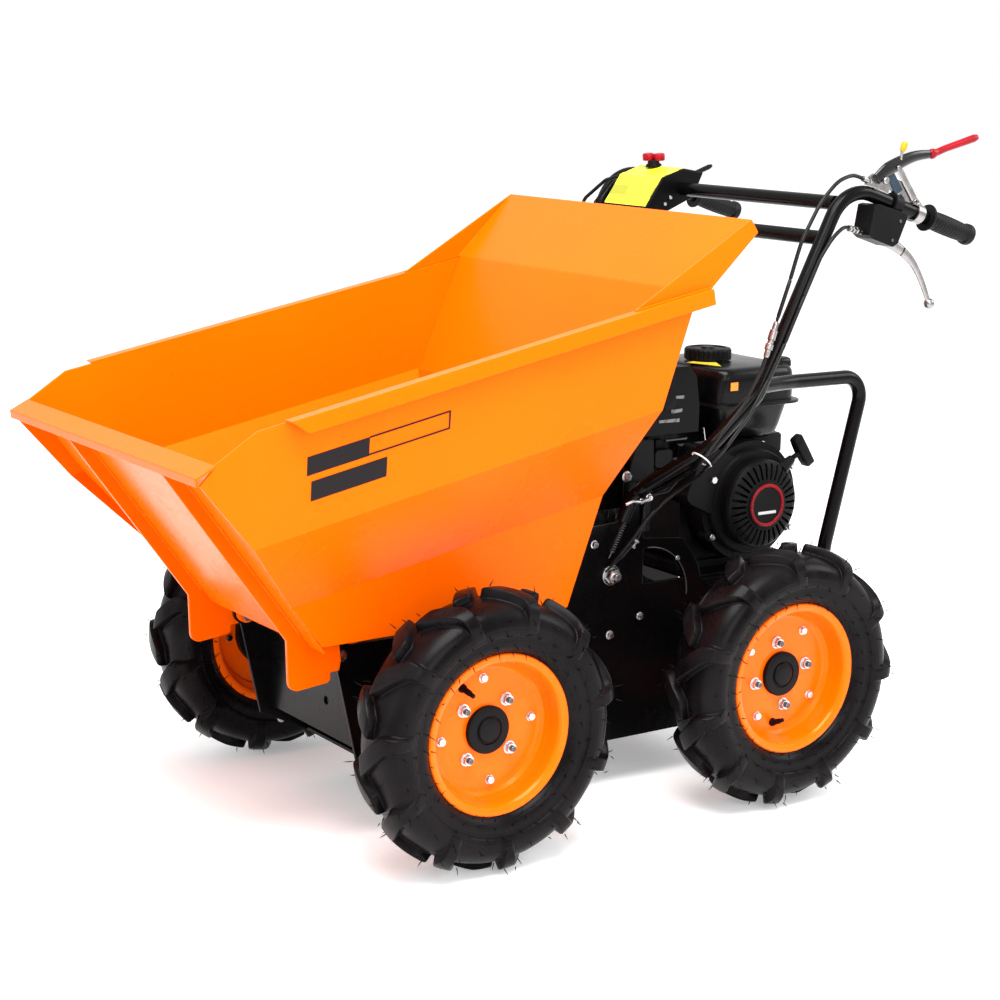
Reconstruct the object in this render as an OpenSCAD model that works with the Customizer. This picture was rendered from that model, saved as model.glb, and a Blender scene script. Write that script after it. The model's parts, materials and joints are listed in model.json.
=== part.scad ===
// Motorized dumper: a walk-behind, four-wheel-drive tipping barrow with a petrol engine.
// Millimetres. +X forward (towards the skip's lip), +Y to the operator's left, +Z up.
// The origin is on the ground, under the middle of the machine's length and width.

/* [Wheels] */
// Distance between the front and rear axles
wheelbase = 533; // [450:1:620]
// Half the track, measured to the middle of each tyre
half_track = 316; // [300:1:340]
// Tyre radius over the lugs
tyre_r = 200; // [185:1:210]
// Tyre width
tyre_w = 105; // [95:1:115]
// Height of the lugs above the tread
lug_h = 14; // [8:1:20]
// Width of a lug
lug_w = 27; // [20:1:34]
// Lugs on each side of a tyre
lugs = 11; // [8:1:13]
// Rim radius over its flanges
rim_r = 115; // [110:1:120]
// Distance between the rim's outer flange faces
rim_w = 70; // [60:1:80]
// Bolt circle of the wheel nuts
nut_pcd = 100; // [90:1:110]
// Bolt circle of the bolts that hold the two rim halves
split_pcd = 148; // [140:1:156]

/* [Skip] */
// Sheet thickness
sheet = 3; // [2:0.5:5]
// Half the width over the sides at the rim
skip_half_w = 302; // [270:1:330]
// Half the width at the upper fold of the sides
fold_half_w = 290; // [250:1:320]
// Half the width at the lower fold of the sides
keel_half_w = 205; // [180:1:240]
// Depth of the upper fold below the rim
fold_depth = 155; // [120:1:180]
// Depth of the lower fold below the rim
keel_depth = 283; // [240:1:310]
// Slope of the rim, falling towards the front (degrees)
rim_slope = 11.31; // [5:0.1:16]
// Height of the rim at its front end
rim_front_z = 640; // [600:1:680]
// Height of the skip's floor
floor_z = 318; // [300:1:340]
// Drop of the folded rim's outer face
rim_drop = 19; // [12:1:26]
// Outward reach of the folded rim
rim_reach = 15; // [8:1:20]
// Thickness of the two ribs under the lip
rib_t = 5.5; // [4:0.5:8]

/* [Chassis and handles] */
// Half the width over the chassis' side plates
frame_half_w = 147; // [130:1:165]
// Plate thickness of the chassis
plate = 5; // [3:1:8]
// Height of the chassis' lowest edge
frame_low_z = 80; // [60:1:110]
// Height of the engine's deck
deck_z = 318; // [300:1:330]
// Half the distance between the handlebars
bar_half_w = 280; // [255:1:300]
// Outer diameter of the handlebars and guard
tube_d = 22; // [18:1:28]
// Half the distance between the guard's uprights
guard_half_w = 245; // [225:1:255]
// Grip diameter at its fullest
grip_d = 33; // [30:1:36]
// Cable sheath diameter
cable_d = 6; // [4:0.5:8]

/* [Engine] */
// Crankshaft height above the deck
crank_h = 109; // [100:1:120]
// Diameter of the starter's cover
starter_d = 140; // [125:1:155]
// Diameter of the blower's round housing
blower_d = 190; // [180:1:215]
// Fuel tank's length and width
tank = [166, 202]; // [120:1:220]
// Fuel cap diameter
cap_d = 75; // [60:1:85]
// Slots in the starter's cover
slots = 32; // [20:1:40]

/* [Hidden] */
lip_reach = 427;                     // the lip, ahead of the front axle
grip_reach = 405;                    // the grips' ends, behind the rear axle
rear_x = (grip_reach - lip_reach - wheelbase)/2;
front_x = rear_x + wheelbase;
axle_z = tyre_r;
rim_tan = tan(rim_slope);
rim_front_x = 342;                   // the skip's lengths run forward from the front axle
front_tan = 0.737;                   // the front wall's lean
front_foot = 365.2 - front_tan*547.9;
front_t = sheet*sqrt(1 + front_tan*front_tan);
gap = 0.4;                           // faces that only come close to each other
run = 0.05;                          // running clearance of a pin or shaft
near = 0.3;                          // pieces that seat without being joined
bar_r = tube_d/2;
rib_y = frame_half_w + gap + rib_t/2;
hinge = [131, 282];                  // the skip's pivot, from the front axle and the ground
hinge_r = 8;
lug_t = 6;                           // the skip's hinge lugs, inside the side plates
lug_y = frame_half_w - plate - gap - lug_t/2;
crank = [-78, 0, deck_z + crank_h];
orange = [0.98, 0.50, 0.02]; black = [0.03, 0.03, 0.035]; rubber = [0.05, 0.05, 0.055];
steel = [0.7, 0.7, 0.72]; iron = [0.13, 0.13, 0.14]; red = [0.8, 0.05, 0.07];
$fn = 48;

// ---------- helpers ----------

// lengths run forward from the rear axle, or from the front axle
module from_rear() translate([rear_x, 0, 0]) children();
module from_front() translate([front_x, 0, 0]) children();
// the engine's heights run from its crankshaft
module from_crank() translate([rear_x, 0, crank[2]]) children();
module other_side() mirror([0, 1, 0]) children();

// a side view (forward, up), extruded t wide about the plane y
module upright(y, t) translate([0, y + t/2, 0]) rotate([90, 0, 0]) linear_extrude(t) children();

// children drawn along +Z are laid from a towards b
module aim(a, b) {
    d = b - a;
    translate(a) rotate([0, acos(d[2]/norm(d)), atan2(d[1], d[0])]) children();
}
module along(a, b, r) aim(a, b) cylinder(r = r, h = norm(b - a));
module ring(a, b, outer, inner) aim(a, b) difference() {
    cylinder(r = outer, h = norm(b - a));
    translate([0, 0, -1]) cylinder(r = inner, h = norm(b - a) + 2);
}

// a rectangle with round corners, centred
module pad(l, w, r) {
    square([l - 2*r, w], center = true);
    square([l, w - 2*r], center = true);
    for (x = [r - l/2, l/2 - r], y = [r - w/2, w/2 - r]) translate([x, y]) circle(r);
}

function unit(v) = v/norm(v);
function turn(p, i) = acos(max(-1, min(1, unit(p[i] - p[i-1])*unit(p[i+1] - p[i]))));
function setback(p, i, bend) = i <= 0 || i >= len(p) - 1 ? 0 : bend*tan(turn(p, i)/2);

// the bend at one corner, as points about 15 degrees apart
function corner(p, i, bend) = let(
        n = max(1, ceil(turn(p, i)/15)), u = unit(p[i] - p[i-1]), w = unit(cross(u, p[i+1] - p[i])),
        m = cross(w, u), c = p[i] - u*setback(p, i, bend) + m*bend)
    [for (k = [0:n]) let(f = turn(p, i)*k/n) c - m*bend*cos(f) + u*bend*sin(f)];
function route(p, bend) = concat([p[0]],
    [for (i = [1:1:len(p) - 2]) each corner(p, i, bend)], [p[len(p) - 1]]);

// a tube or cable through the points, its corners bent to one radius: rings of the same
// number of points, each turned as little as possible from the one before
function heading(q, i) = i == 0 ? unit(q[1] - q[0]) : i == len(q) - 1 ? unit(q[i] - q[i-1])
    : unit(unit(q[i] - q[i-1]) + unit(q[i+1] - q[i]));
function square_to(v, t) = unit(v - t*(v*t));
module bent(p, r, bend, sides = 16) {
    q = route(p, bend);
    n = len(q);
    side = [for (i = 0, v = square_to([0.3, 0.9, 0.31], heading(q, 0)); i < n;
             i = i + 1, v = i < n ? square_to(v, heading(q, i)) : v) v];
    swell = r/cos(90/sides);
    polyhedron([for (i = [0:n - 1]) for (k = [0:sides - 1]) q[i]
            + side[i]*swell*cos(k*360/sides) + cross(heading(q, i), side[i])*swell*sin(k*360/sides)],
        concat([[for (k = [0:sides - 1]) k]], [[for (k = [sides - 1:-1:0]) (n - 1)*sides + k]],
            [for (i = [0:n - 2]) for (k = [0:sides - 1]) let(a = i*sides + k, b = i*sides + (k + 1)%sides)
                each [[a, a + sides, b], [b, a + sides, b + sides]]]));
}

// folded sheet in side view: the path is one face, and t is laid to its left
function left_of(a, b) = unit([a[1] - b[1], b[0] - a[0]]);
function mitred(p, i, t) = let(
        n = left_of(p[max(i - 1, 0)], p[max(i, 1)]), m = left_of(p[min(i, len(p) - 2)], p[min(i + 1, len(p) - 1)]))
    p[i] + t*(n + m)/(1 + n*m);
module folded(p, t, from, to) polygon(concat([for (i = [from:to]) p[i]], [for (i = [to:-1:from]) mitred(p, i, t)]));

// ---------- wheels, drawn about +Z with the outer face up ----------

// the spin is the wheel's turn in side view, from forward towards up
module on_axle(x, spin) translate([x, half_track, axle_z]) rotate([-90, 0, 0]) rotate([0, 0, -spin]) children();
front_spin = -5; rear_spin = -145;
front_tread = 61; rear_tread = 43;

carcass_r = tyre_r - lug_h;
bead_r = rim_r - 11;
tread_z = tyre_w/2 - 13;             // half the tread, up to its shoulders
lug_lean = 41;
function both(half) = concat([for (i = [len(half) - 1:-1:0]) [half[i][0], -half[i][1]]], half);
module tyre_section() polygon(both([
    [carcass_r, 0], [carcass_r - 2, tyre_w/2 - 28], [carcass_r - 7, tread_z], [rim_r + 58, tyre_w/2 - 6],
    [rim_r + 48, tyre_w/2 - 3], [rim_r + 38, tyre_w/2 - 2.5], [rim_r + 29, tyre_w/2 - 4],
    [rim_r + 27, tyre_w/2 - 6.5], [rim_r + 13, tyre_w/2 - 9], [rim_r + 3, rim_w/2 + 0.6],
    [rim_r - 2, rim_w/2 - 4.2], [bead_r, rim_w/2 - 8]]));

// what the lugs stand up to: crowned across the tread, and flush with the tyre's width beside it
module lug_section() polygon(both([
    [tyre_r, 0], [tyre_r - 1.5, 16], [tyre_r - 5, 30], [tyre_r - 10, tread_z], [tyre_r - 20, tyre_w/2 - 1],
    [tyre_r - 32, tyre_w/2], [rim_r + 40, tyre_w/2 - 1.5], [rim_r + 34, tyre_w/2 - 5]]));

// one lug: a bar leaning from just past the tread's middle, and a leg down the sidewall
module lug() {
    rotate([lug_lean, 0, 0]) translate([carcass_r - 20, -lug_w/2, -9])
        cube([tyre_r, lug_w, 9 + (tread_z - 5)/cos(lug_lean)]);
    translate([rim_r + 30, -(tread_z - 9)*tan(lug_lean) - lug_w/2, tread_z - 12])
        cube([tyre_r, 0.72*lug_w, 30]);
}

valve_turn = 63;
module valve() rotate([0, 0, -valve_turn]) translate([0.66*rim_r, 0, disc_z + near]) {
    rotate_extrude($fn = 24) polygon([[0, 0], [6.5, 0], [6, 3.5], [4, 6], [0, 6]]);
    aim([0, 0, 4], [-9, 0, 23]) rotate_extrude($fn = 24) polygon([[0, 0], [4, 0], [4, 13], [3, 14], [3, 20], [0, 20]]);
}

module tyre() color(rubber) {
    rotate_extrude($fn = 96) tyre_section();
    intersection() {
        rotate_extrude($fn = 96) lug_section();
        for (i = [0:lugs - 1]) {
            rotate([0, 0, i*360/lugs]) lug();
            rotate([0, 0, (i + 0.5)*360/lugs]) mirror([0, 0, 1]) lug();
        }
    }
}

disc_z = -1.5;
disc_t = 3;
spigot_r = 30;
module rim() color(orange) difference() {
    rotate_extrude($fn = 96) polygon([
        [spigot_r, disc_z], [rim_r - 31, disc_z], [rim_r - 26, disc_z + 1.5], [rim_r - 21.5, disc_z + 6],
        [rim_r - 18, disc_z + 14], [rim_r - 15.5, 24], [rim_r - 14, 29], [rim_r - 11.5, rim_w/2 - 2.2],
        [rim_r - 7, rim_w/2 - 0.3], [rim_r - 2, rim_w/2], [rim_r, rim_w/2 - 2], [rim_r - 2, rim_w/2 - 3.5],
        [rim_r - 6, rim_w/2 - 4], [rim_r - 9, rim_w/2 - 5.5], [bead_r, rim_w/2 - 7.5], [bead_r, 18],
        [rim_r - 15, 12], [rim_r - 18, 4.5], [rim_r - 18, -12], [bead_r, -20], [bead_r, 7.5 - rim_w/2],
        [rim_r - 9, 5.5 - rim_w/2], [rim_r - 6, 4 - rim_w/2], [rim_r - 2, 3.5 - rim_w/2],
        [rim_r, 2 - rim_w/2], [rim_r - 2, -rim_w/2], [rim_r - 7, 0.3 - rim_w/2], [rim_r - 11.5, 2.2 - rim_w/2],
        [rim_r - 14, -28], [rim_r - 14, -22], [rim_r - 22, -14], [rim_r - 24, disc_z - disc_t],
        [spigot_r, disc_z - disc_t]]);
    bolt_holes(nut_pcd, 45, 4.1);
    bolt_holes(split_pcd, 0, 3.1);
}
module bolt_holes(pcd, start, r)
    for (a = [0:90:270]) rotate([0, 0, start + a]) translate([pcd/2, 0, disc_z - disc_t - 1]) cylinder(r = r, h = disc_t + 2);

// the flange that the rim bolts to, its bearing barrel and the black cap in the rim's spigot
cap_r = 37.5;
module hub() color(black) difference() {
    rotate_extrude() polygon([
        [0, -58], [30, -58], [32, -56], [32, -18], [62, -16], [62, disc_z - disc_t],
        [spigot_r - 0.1, disc_z - disc_t], [spigot_r - 0.1, disc_z], [cap_r, disc_z], [cap_r, 5], [cap_r - 1.5, 6.5],
        [21.5, 6.5], [20.5, 4.5], [19, 4.5], [18.5, 8], [17, 9.5], [12, 10.2], [0, 10.5]]);
    translate([0, 0, -59]) cylinder(r = 12.5 + run, h = 50);
    for (a = [45:90:315]) rotate([0, 0, a]) translate([nut_pcd/2, 0, -20]) cylinder(r = 4.1, h = 20);
}

// flanged hexagon nuts on studs, and the hexagon bolts that clamp the rim's halves
module hexagon(r, h) intersection() {
    cylinder(r = r, h = h, $fn = 6);
    rotate_extrude() polygon([[0, 0], [r, 0], [r, 0.75*h], [0.85*r, h], [0, h]]);
}
module nuts() color(steel) {
    for (a = [45:90:315]) rotate([0, 0, a]) translate([nut_pcd/2, 0, disc_z]) {
        translate([0, 0, -15.5]) cylinder(r = 4, h = 29);
        cylinder(r = 9.5, h = 1.6);
        translate([0, 0, 1.6]) rotate([0, 0, 20 + a/3]) hexagon(8.1, 7.4);
    }
    for (a = [0:90:270]) rotate([0, 0, a]) translate([split_pcd/2, 0, disc_z]) {
        translate([0, 0, -8]) cylinder(r = 3, h = 10);
        cylinder(r = 6.8, h = 1);
        translate([0, 0, 1]) rotate([0, 0, 10 + a/4]) hexagon(5.8, 4.6);
        translate([0, 0, -disc_t - 5]) cylinder(r = 5.8, h = 5, $fn = 6);
    }
}

// ---------- skip ----------

function rim_z(x) = rim_front_z + rim_tan*(rim_front_x - x);
function front_wall_x(z) = front_foot + front_tan*z;

// the skip's hollow section, swept along the sloping rim; t is taken off each side
module trough(t, up) {
    c = cos(rim_slope);
    translate([rim_front_x, 0, rim_front_z]) rotate([0, rim_slope, 0])
        translate([-900, 0, 0]) rotate([90, 0, 90]) linear_extrude(1100) polygon([
            [-skip_half_w + t, up], [-skip_half_w + t, 0], [-fold_half_w + t, -fold_depth*c],
            [-keel_half_w + t, -keel_depth*c], [-keel_half_w + 18 + t, -(keel_depth + 177)*c],
            [keel_half_w - 18 - t, -(keel_depth + 177)*c], [keel_half_w - t, -keel_depth*c],
            [fold_half_w - t, -fold_depth*c], [skip_half_w - t, 0], [skip_half_w - t, up]]);
}

floor_low = floor_z - sheet;
front_low = 304;                     // the front wall runs on below the floor
front_top = 598;                     // where the front wall folds into the lip
front_sheet = [[front_wall_x(front_low), front_low], [front_wall_x(front_top), front_top],
               [lip_reach - sheet + 1.5, front_top - 12], [lip_reach - sheet, front_top - 21]];
back_sheet = [[-196, floor_low], [-262, floor_z + 287], [-348, rim_z(-348) + 6], [-451, rim_z(-348) + 104]];
keel_front_x = 189;                  // the sides' lower front corner

module side_outline() polygon([
    [-359, rim_z(-359)], [-225, floor_low], [keel_front_x, floor_low], [242, 377], [342, 485], [421, front_top - 21],
    front_sheet[1], mitred(front_sheet, 1, sheet), [rim_front_x, rim_front_z]]);

// the folded rim: out over the side, then down, cut back at its front end
rim_from = -733; rim_to = -41;
module folded_rim() translate([rim_front_x, 0, rim_front_z]) rotate([0, rim_slope, 0]) difference() {
    translate([rim_from, skip_half_w - sheet, -rim_drop])
        cube([rim_to - rim_from, rim_reach + sheet, rim_drop + sheet]);
    translate([rim_from - 1, skip_half_w - sheet - 1, -rim_drop - 1])
        cube([rim_to - rim_from + 2, rim_reach + 1, rim_drop + 1]);
    translate([rim_to, skip_half_w, sheet]) rotate([0, 45, 0]) translate([0, -40, -60]) cube([60, 80, 60]);
}

module skip_side() color(orange) from_front() {
    intersection() {
        difference() { trough(0, 0); trough(sheet, 40); }
        upright(200, 400) side_outline();
    }
    folded_rim();
}

module skip_front() color(orange) from_front() {
    intersection() {
        trough(sheet, 0);
        upright(0, 700) folded(front_sheet, sheet, 0, 1);
    }
    upright(0, 2*skip_half_w) folded(front_sheet, sheet, 1, 3);
}

module skip_floor() color(orange) from_front() intersection() {
    trough(sheet, 0);
    upright(0, 500) polygon([[-196, floor_low], [front_wall_x(floor_low) - front_t, floor_low],
        [front_wall_x(floor_z) - front_t, floor_z], [-196, floor_z]]);
}

module skip_rear() color(orange) from_front() intersection() {
    trough(sheet, 20);
    upright(0, 700) folded(back_sheet, sheet, 0, 2);
}

// the splash board over the engine, with a gusset on each side that stands on the folded rim
module hood() color(orange) from_front() {
    on_rim = sheet/cos(rim_slope) + 0.1;
    upright(0, 2*skip_half_w) folded(back_sheet, sheet, 2, 3);
    for (s = [-1, 1]) upright(s*(skip_half_w + sheet/2), sheet) polygon([
        [-246, rim_z(-246) + on_rim + 1], [-246, rim_z(-246) + on_rim], [-383, rim_z(-383) + on_rim],
        back_sheet[3] - [13, 18.5], back_sheet[3]]);
}

// a rib under the lip runs down to a round-nosed ear in front of the chassis; the hinge lug
// beside it, inside the chassis' side plate, turns on the pivot bolt
ear_r = 15;
module rib() color(orange) from_front() {
    upright(rib_y, rib_t) {
        polygon([[front_wall_x(567), 567], [402, 565], [221, 317], [219, 259], [219 - ear_r, 259 - ear_r],
            [157, 249], [153, 253], [153, 263], [139, 264], [136, 278], [140, floor_low],
            [front_wall_x(floor_low) - front_t, floor_low], mitred(front_sheet, 0, sheet),
            front_sheet[0] + [0.02, 0]]);
        translate([219 - ear_r, 259]) circle(ear_r);
    }
    upright(lug_y, lug_t) difference() {
        union() {
            translate(hinge) circle(2*hinge_r);
            polygon([hinge + [-2*hinge_r, 0], hinge + [2*hinge_r, 0], [hinge[0] + 34, floor_low], [hinge[0] - 34, floor_low]]);
        }
        translate(hinge) circle(hinge_r + run);
    }
}

// a pivot bolt on each side, flush with the side plate outside, with its head inside the lug
head_h = 7;
module tip_pin() color(steel) from_front() for (s = [0, 1]) mirror([0, s, 0])
    translate([hinge[0], lug_y - lug_t/2 - gap, hinge[1]]) rotate([-90, 0, 0]) {
        translate([0, 0, -head_h]) cylinder(r = hinge_r, h = head_h + gap + lug_t + gap + plate);
        translate([0, 0, -head_h]) hexagon(13, head_h);
    }

// ---------- chassis ----------

nose = wheelbase + 138;              // the side plates' front edge at the hinge
nose_low = wheelbase + 106;
side_top = 296;
plate_y = frame_half_w - plate/2;
pulley = [126, 299];                 // the drive pulley in the chassis' window
pulley_r = 62;
handle_foot = [172, 455];
deck_x = [-150, 40];
module side_plate() color(black) from_rear() upright(plate_y, plate) difference() {
    union() {
        polygon([[nose_low, 120], [nose, 262], [nose - 8, side_top], [300, side_top], [272, 322], [264, 417], [176, 421],
            [172, 474], [166, 480], [146, 480], [140, 474], [137, 392], [60, 384], [28, 340], [20, deck_z - plate],
            [deck_x[0], deck_z - plate], [-170, 250], [-170, 150], [-110, frame_low_z], [wheelbase + 27, frame_low_z]]);
        translate([wheelbase, 0] + hinge) circle(2.4*hinge_r);
    }
    for (x = [0, wheelbase]) translate([x, axle_z]) circle(32);
    translate([wheelbase, 0] + hinge) circle(hinge_r + run);
    intersection() {
        translate(pulley) circle(76);
        translate([46, deck_z + 2]) square([90, 62]);
    }
}

// the front plate stands back between the side plates, with a hole for a towing pin
front_plate_x = wheelbase + 91;
tow_hole = [32, 182];
tow_hole_r = 6.5;
module front_plate() color(black) from_rear() difference() {
    w = frame_half_w - plate;
    upright(0, 2*w) polygon([[front_plate_x, 131], [front_plate_x, 290], [320, 290], [320, 290 - plate],
        [front_plate_x - plate, 290 - plate], [front_plate_x - plate, 131]]);
    translate([front_plate_x - plate - 1, tow_hole[0], tow_hole[1]]) rotate([0, 90, 0]) cylinder(r = tow_hole_r, h = plate + 2);
}

module cross_plate(x, l, z) color(black) from_rear()
    translate([x, plate - frame_half_w, z]) cube([l, 2*(frame_half_w - plate), plate]);

housing_r = 31.9;
module axle(x) color(iron) from_rear() translate([x, 0, axle_z]) rotate([90, 0, 0]) {
    cylinder(r = housing_r, h = 2*(half_track - 59), center = true);
    cylinder(r = 12.5, h = 2*(half_track - 11), center = true);
    for (s = [-1, 1]) translate([0, 0, s*(half_track - 68)]) cylinder(r = 38, h = 12, center = true);
}

// a ribbed drive casing with its pulley, a differential on each axle and the shaft between;
// the selector's plate stands against the left side plate
module gearbox() color(iron) from_rear() {
    difference() {
        union() {
            upright(0, 180) polygon([[60, 110], [70, 100], [210, 100], [222, 112], [222, 268], [200, 282],
                [86, 282], [60, 262]]);
            for (y = [-62:31:62]) upright(y, 5) polygon([[54, 116], [66, 96], [214, 96], [227, 108], [227, 271], [202, 284],
                [84, 284], [54, 266]]);
            for (x = [0, wheelbase]) translate([x, 0, axle_z]) {
                rotate([90, 0, 0]) cylinder(r = 74, h = 90, center = true);
                rotate([90, 0, 0]) cylinder(r = 46, h = 150, center = true);
            }
            translate([200, 0, 190]) rotate([0, 90, 0]) cylinder(r = 22, h = wheelbase - 260);
        }
        for (x = [0, wheelbase]) translate([x, 0, axle_z]) rotate([90, 0, 0]) cylinder(r = housing_r, h = 400, center = true);
    }
    upright(28, 60) chamfered(pulley[0] - 30, 270, pulley[0] + 30, pulley[1] + 26, 12);
    translate([pulley[0], 89, pulley[1]]) rotate([-90, 0, 0]) {
        translate([0, 0, -60]) cylinder(r = 14, h = 60);
        rotate_extrude() polygon([[0, 0], [pulley_r - 30, 0], [pulley_r - 30, 4], [pulley_r - 36, 8], [pulley_r - 36, 12],
            [pulley_r - 30, 16], [pulley_r - 30, 20], [12, 20], [12, 26], [0, 26]]);
    }
    upright(frame_half_w - plate - 2, 4) polygon([[122, 400], [172, 400], [173, 470], [164, 490], [149, 543], [119, 541],
        [116, 478], [122, 440]]);
}

// ---------- engine ----------

// one chamfered outline in side view, for castings
module chamfered(x0, z0, x1, z1, c) polygon([[x0 + c, z0], [x1 - c, z0], [x1, z0 + c], [x1, z1 - c], [x1 - c, z1],
    [x0 + c, z1], [x0, z1 - c], [x0, z0 + c]]);

tilt = 25;                           // the cylinder's lean
fins = 9;
fin_w = 115;
fin_y = 2.5;                         // the cylinder's middle
module engine_block() color(iron) from_rear() {
    upright(12, 164) chamfered(-165, deck_z, 25, deck_z + 178, 22);
    upright(8, 190) polygon([[-176, deck_z], [36, deck_z], [36, deck_z + 12], [-176, deck_z + 12]]);
    for (x = [-150, -95, -40, 5]) upright(-72, 10) chamfered(x - 6, deck_z + 8, x + 6, deck_z + 150, 3);
    translate(crank) rotate([0, -tilt, 0]) {
        translate([30, -46, -34]) cube([150, 96, 68]);
        for (i = [0:fins - 1]) translate([66 + 11.5*i, fin_y, 0]) rotate([0, 90, 0]) linear_extrude(3.4) pad(86, fin_w, 14);
        translate([176, fin_y, 0]) rotate([0, 90, 0]) linear_extrude(18) pad(58, 92, 12);
    }
    translate(crank) rotate([90, 0, 0]) {
        cylinder(r = 45, h = 88);
        cylinder(r = 13, h = 112);
        for (a = [0:60:300]) rotate([0, 0, a]) translate([37, 0, 80]) cylinder(r = 5, h = 12);
    }
    translate([-176, 60, deck_z + 40]) rotate([0, -65, 0]) rotate_extrude($fn = 32)
        polygon([[0, -20], [11, -20], [11, 6], [16, 6], [16, 16], [13, 18], [0, 18]]);
}

// the blower's stepped drum, its ducting towards the cylinder and four bolted ears
drum_y = 94;
drum_face = 152;
drum_r = blower_d/2;
shoulder = 44;                       // the drum's wide step, and the narrow one in front of it
module blower() color(black) from_rear() translate(crank) {
    translate([0, drum_y + near, 0]) rotate([-90, 0, 0]) rotate_extrude($fn = 96) polygon([
        [0, 0], [drum_r - 3, 0], [drum_r, 3], [drum_r, shoulder], [drum_r - 11, shoulder], [drum_r - 11, shoulder + 7],
        [drum_r - 14, drum_face - drum_y - near], [0, drum_face - drum_y - near]]);
    rotate([0, -tilt, 0]) translate([88, drum_y + 27 + near, 2]) rotate([90, 0, 0])
        linear_extrude(54, center = true) pad(84, 96, 16);
    for (a = [27, 148, 212, 328]) rotate([0, -a, 0]) translate([drum_r - 2, drum_y, 0]) rotate([-90, 0, 0]) {
        translate([0, 0, shoulder - 18]) cylinder(r = 8, h = 21);
        translate([0, 0, shoulder + 3]) hexagon(5.5, 5);
    }
}

cover_r = starter_d/2;
boss_r = cover_r - 34;
slot_l = cover_r - boss_r - 9;
module starter() color(black) from_rear() translate(crank + [0, drum_face + near, 0]) {
    rotate([-90, 0, 0]) difference() {
        rotate_extrude($fn = 96) polygon([[0, 0], [cover_r, 0], [cover_r, 14], [cover_r - 2, 19], [cover_r - 6, 23],
            [cover_r - 12, 25.5], [boss_r + 1, 28], [boss_r, 28], [boss_r, 30], [boss_r - 4, 30], [boss_r - 5, 28], [0, 28]]);
        for (i = [0:slots - 1]) rotate([0, 0, i*360/slots]) translate([boss_r + 4, -2, 16]) cube([slot_l, 4, 20]);
    }
    aim([-34, 14, 46], [-62, 14, 66]) rotate_extrude() polygon([[0, 8], [11, 8], [8, 26], [6.5, 34.4], [0, 34.4]]);
}

// the pull cord's rod and its cross handle
pull_neck = [-63.1, 14, 66.7];
module starter_pull() color(black) from_rear() translate(crank + [0, drum_face + near, 0]) {
    along(pull_neck, [-82, 14, 76], 4);
    aim([-69, 14, 98], [-97, 14, 54]) rotate_extrude($fn = 32)
        polygon([[0, 0], [7, 0], [8.5, 3], [8.5, 10], [7.5, 22], [7.5, 30], [8.5, 42], [8.5, 49], [7, 52], [0, 52]]);
}

// two moulded halves with round corners, welded at a flange that stands out
tank_x = -93;
tank_y = 39;
tank_low = drum_r + near;
tank_top = 210;
seam_z = 150;
filler = [-66, 40];
module soft_box(l, w, z0, z1, r, low_inset, top_r) translate([tank_x, tank_y, 0]) hull()
    for (x = [-1, 1], y = [-1, 1]) {
        translate([x*(l/2 - r), y*(w/2 - r), z1 - top_r]) rotate_extrude($fn = 24)
            polygon([[0, 0], [r, 0], [r - 0.29*top_r, 0.71*top_r], [r - top_r, top_r], [0, top_r]]);
        translate([x*(l/2 - r - low_inset), y*(w/2 - r - low_inset), z0]) cylinder(r = r, h = 1, $fn = 24);
    }
module fuel_tank() color(black) from_crank() {
    soft_box(tank[0], tank[1], seam_z + 4, tank_top, 22, 0, 12);
    soft_box(tank[0], tank[1], tank_low, seam_z, 22, 16, 1);
    translate([tank_x, tank_y, seam_z]) linear_extrude(4) pad(tank[0] + 16, tank[1] + 16, 26);
    translate([tank_x - tank[0]/2 + 24, tank_y + tank[1]/2 - 34, tank_top - 1]) linear_extrude(13) pad(30, 24, 7);
    translate([filler[0], filler[1], tank_top - 1]) cylinder(r = cap_d/2 - 5, h = 5);
}

ribs = 28;
module fuel_cap() color(black) from_crank() translate([filler[0], filler[1], tank_top + 4 + near]) difference() {
    rotate_extrude() polygon([[0, 0], [cap_d/2, 0], [cap_d/2, 14], [cap_d/2 - 2, 17], [cap_d/2 - 8, 18], [cap_d/2 - 10, 16],
        [12, 16], [10, 19], [0, 19]]);
    for (i = [0:ribs - 1]) rotate([0, 0, i*360/ribs]) translate([cap_d/2 + 0.4, 0, 2]) cylinder(r = 1.8, h = 20, $fn = 16);
}

// the air cleaner's body and its cover, parted by a groove, with one corner cut off
air_low = 121; air_top = 223;
module air_outline(i) polygon([[37 + i, air_low + i], [162 - i, air_low + i], [162 - i, air_top - 12 - i],
    [152 - i, air_top - i], [60 + i, air_top - i], [44 + i, air_top - 16 - i], [37 + i, 163]]);
module air_box() color(black) from_crank() {
    upright(62, 104) air_outline(0);
    upright(116, 4) air_outline(4);
    upright(133, 30) air_outline(0);
    translate([100, 148, 173]) rotate([-90, 0, 0]) rotate_extrude($fn = 32) polygon([[0, 0], [15, 0], [14, 5], [6, 6], [0, 6]]);
}

// body, float bowl, inlet and its levers
module carburettor() color(iron) from_crank() {
    translate([56, fin_y + fin_w/2 + near, 73]) cube([60, 40, 36]);
    translate([86, 82, 109]) cylinder(r = 16, h = air_low - 109 - near);
    translate([86, 82, 43]) rotate_extrude() polygon([[0, 0], [6, 0], [6, 3], [16, 3], [19, 8], [19, 30], [0, 30]]);
    upright(116, 31) chamfered(73, 67, 106, 94, 4);
    along([73.5, 124, 75], [53, 124, 74], 3.6);
    along([53, 124, 74], [49, 124, 74], 6);
    upright(106, 3) polygon([[44, 104], [104, 104], [104, 110], [92, 114], [44, 111]]);
    upright(110, 8) polygon([[80, 93], [92, 93], [92, 107], [80, 107]]);
}

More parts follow.
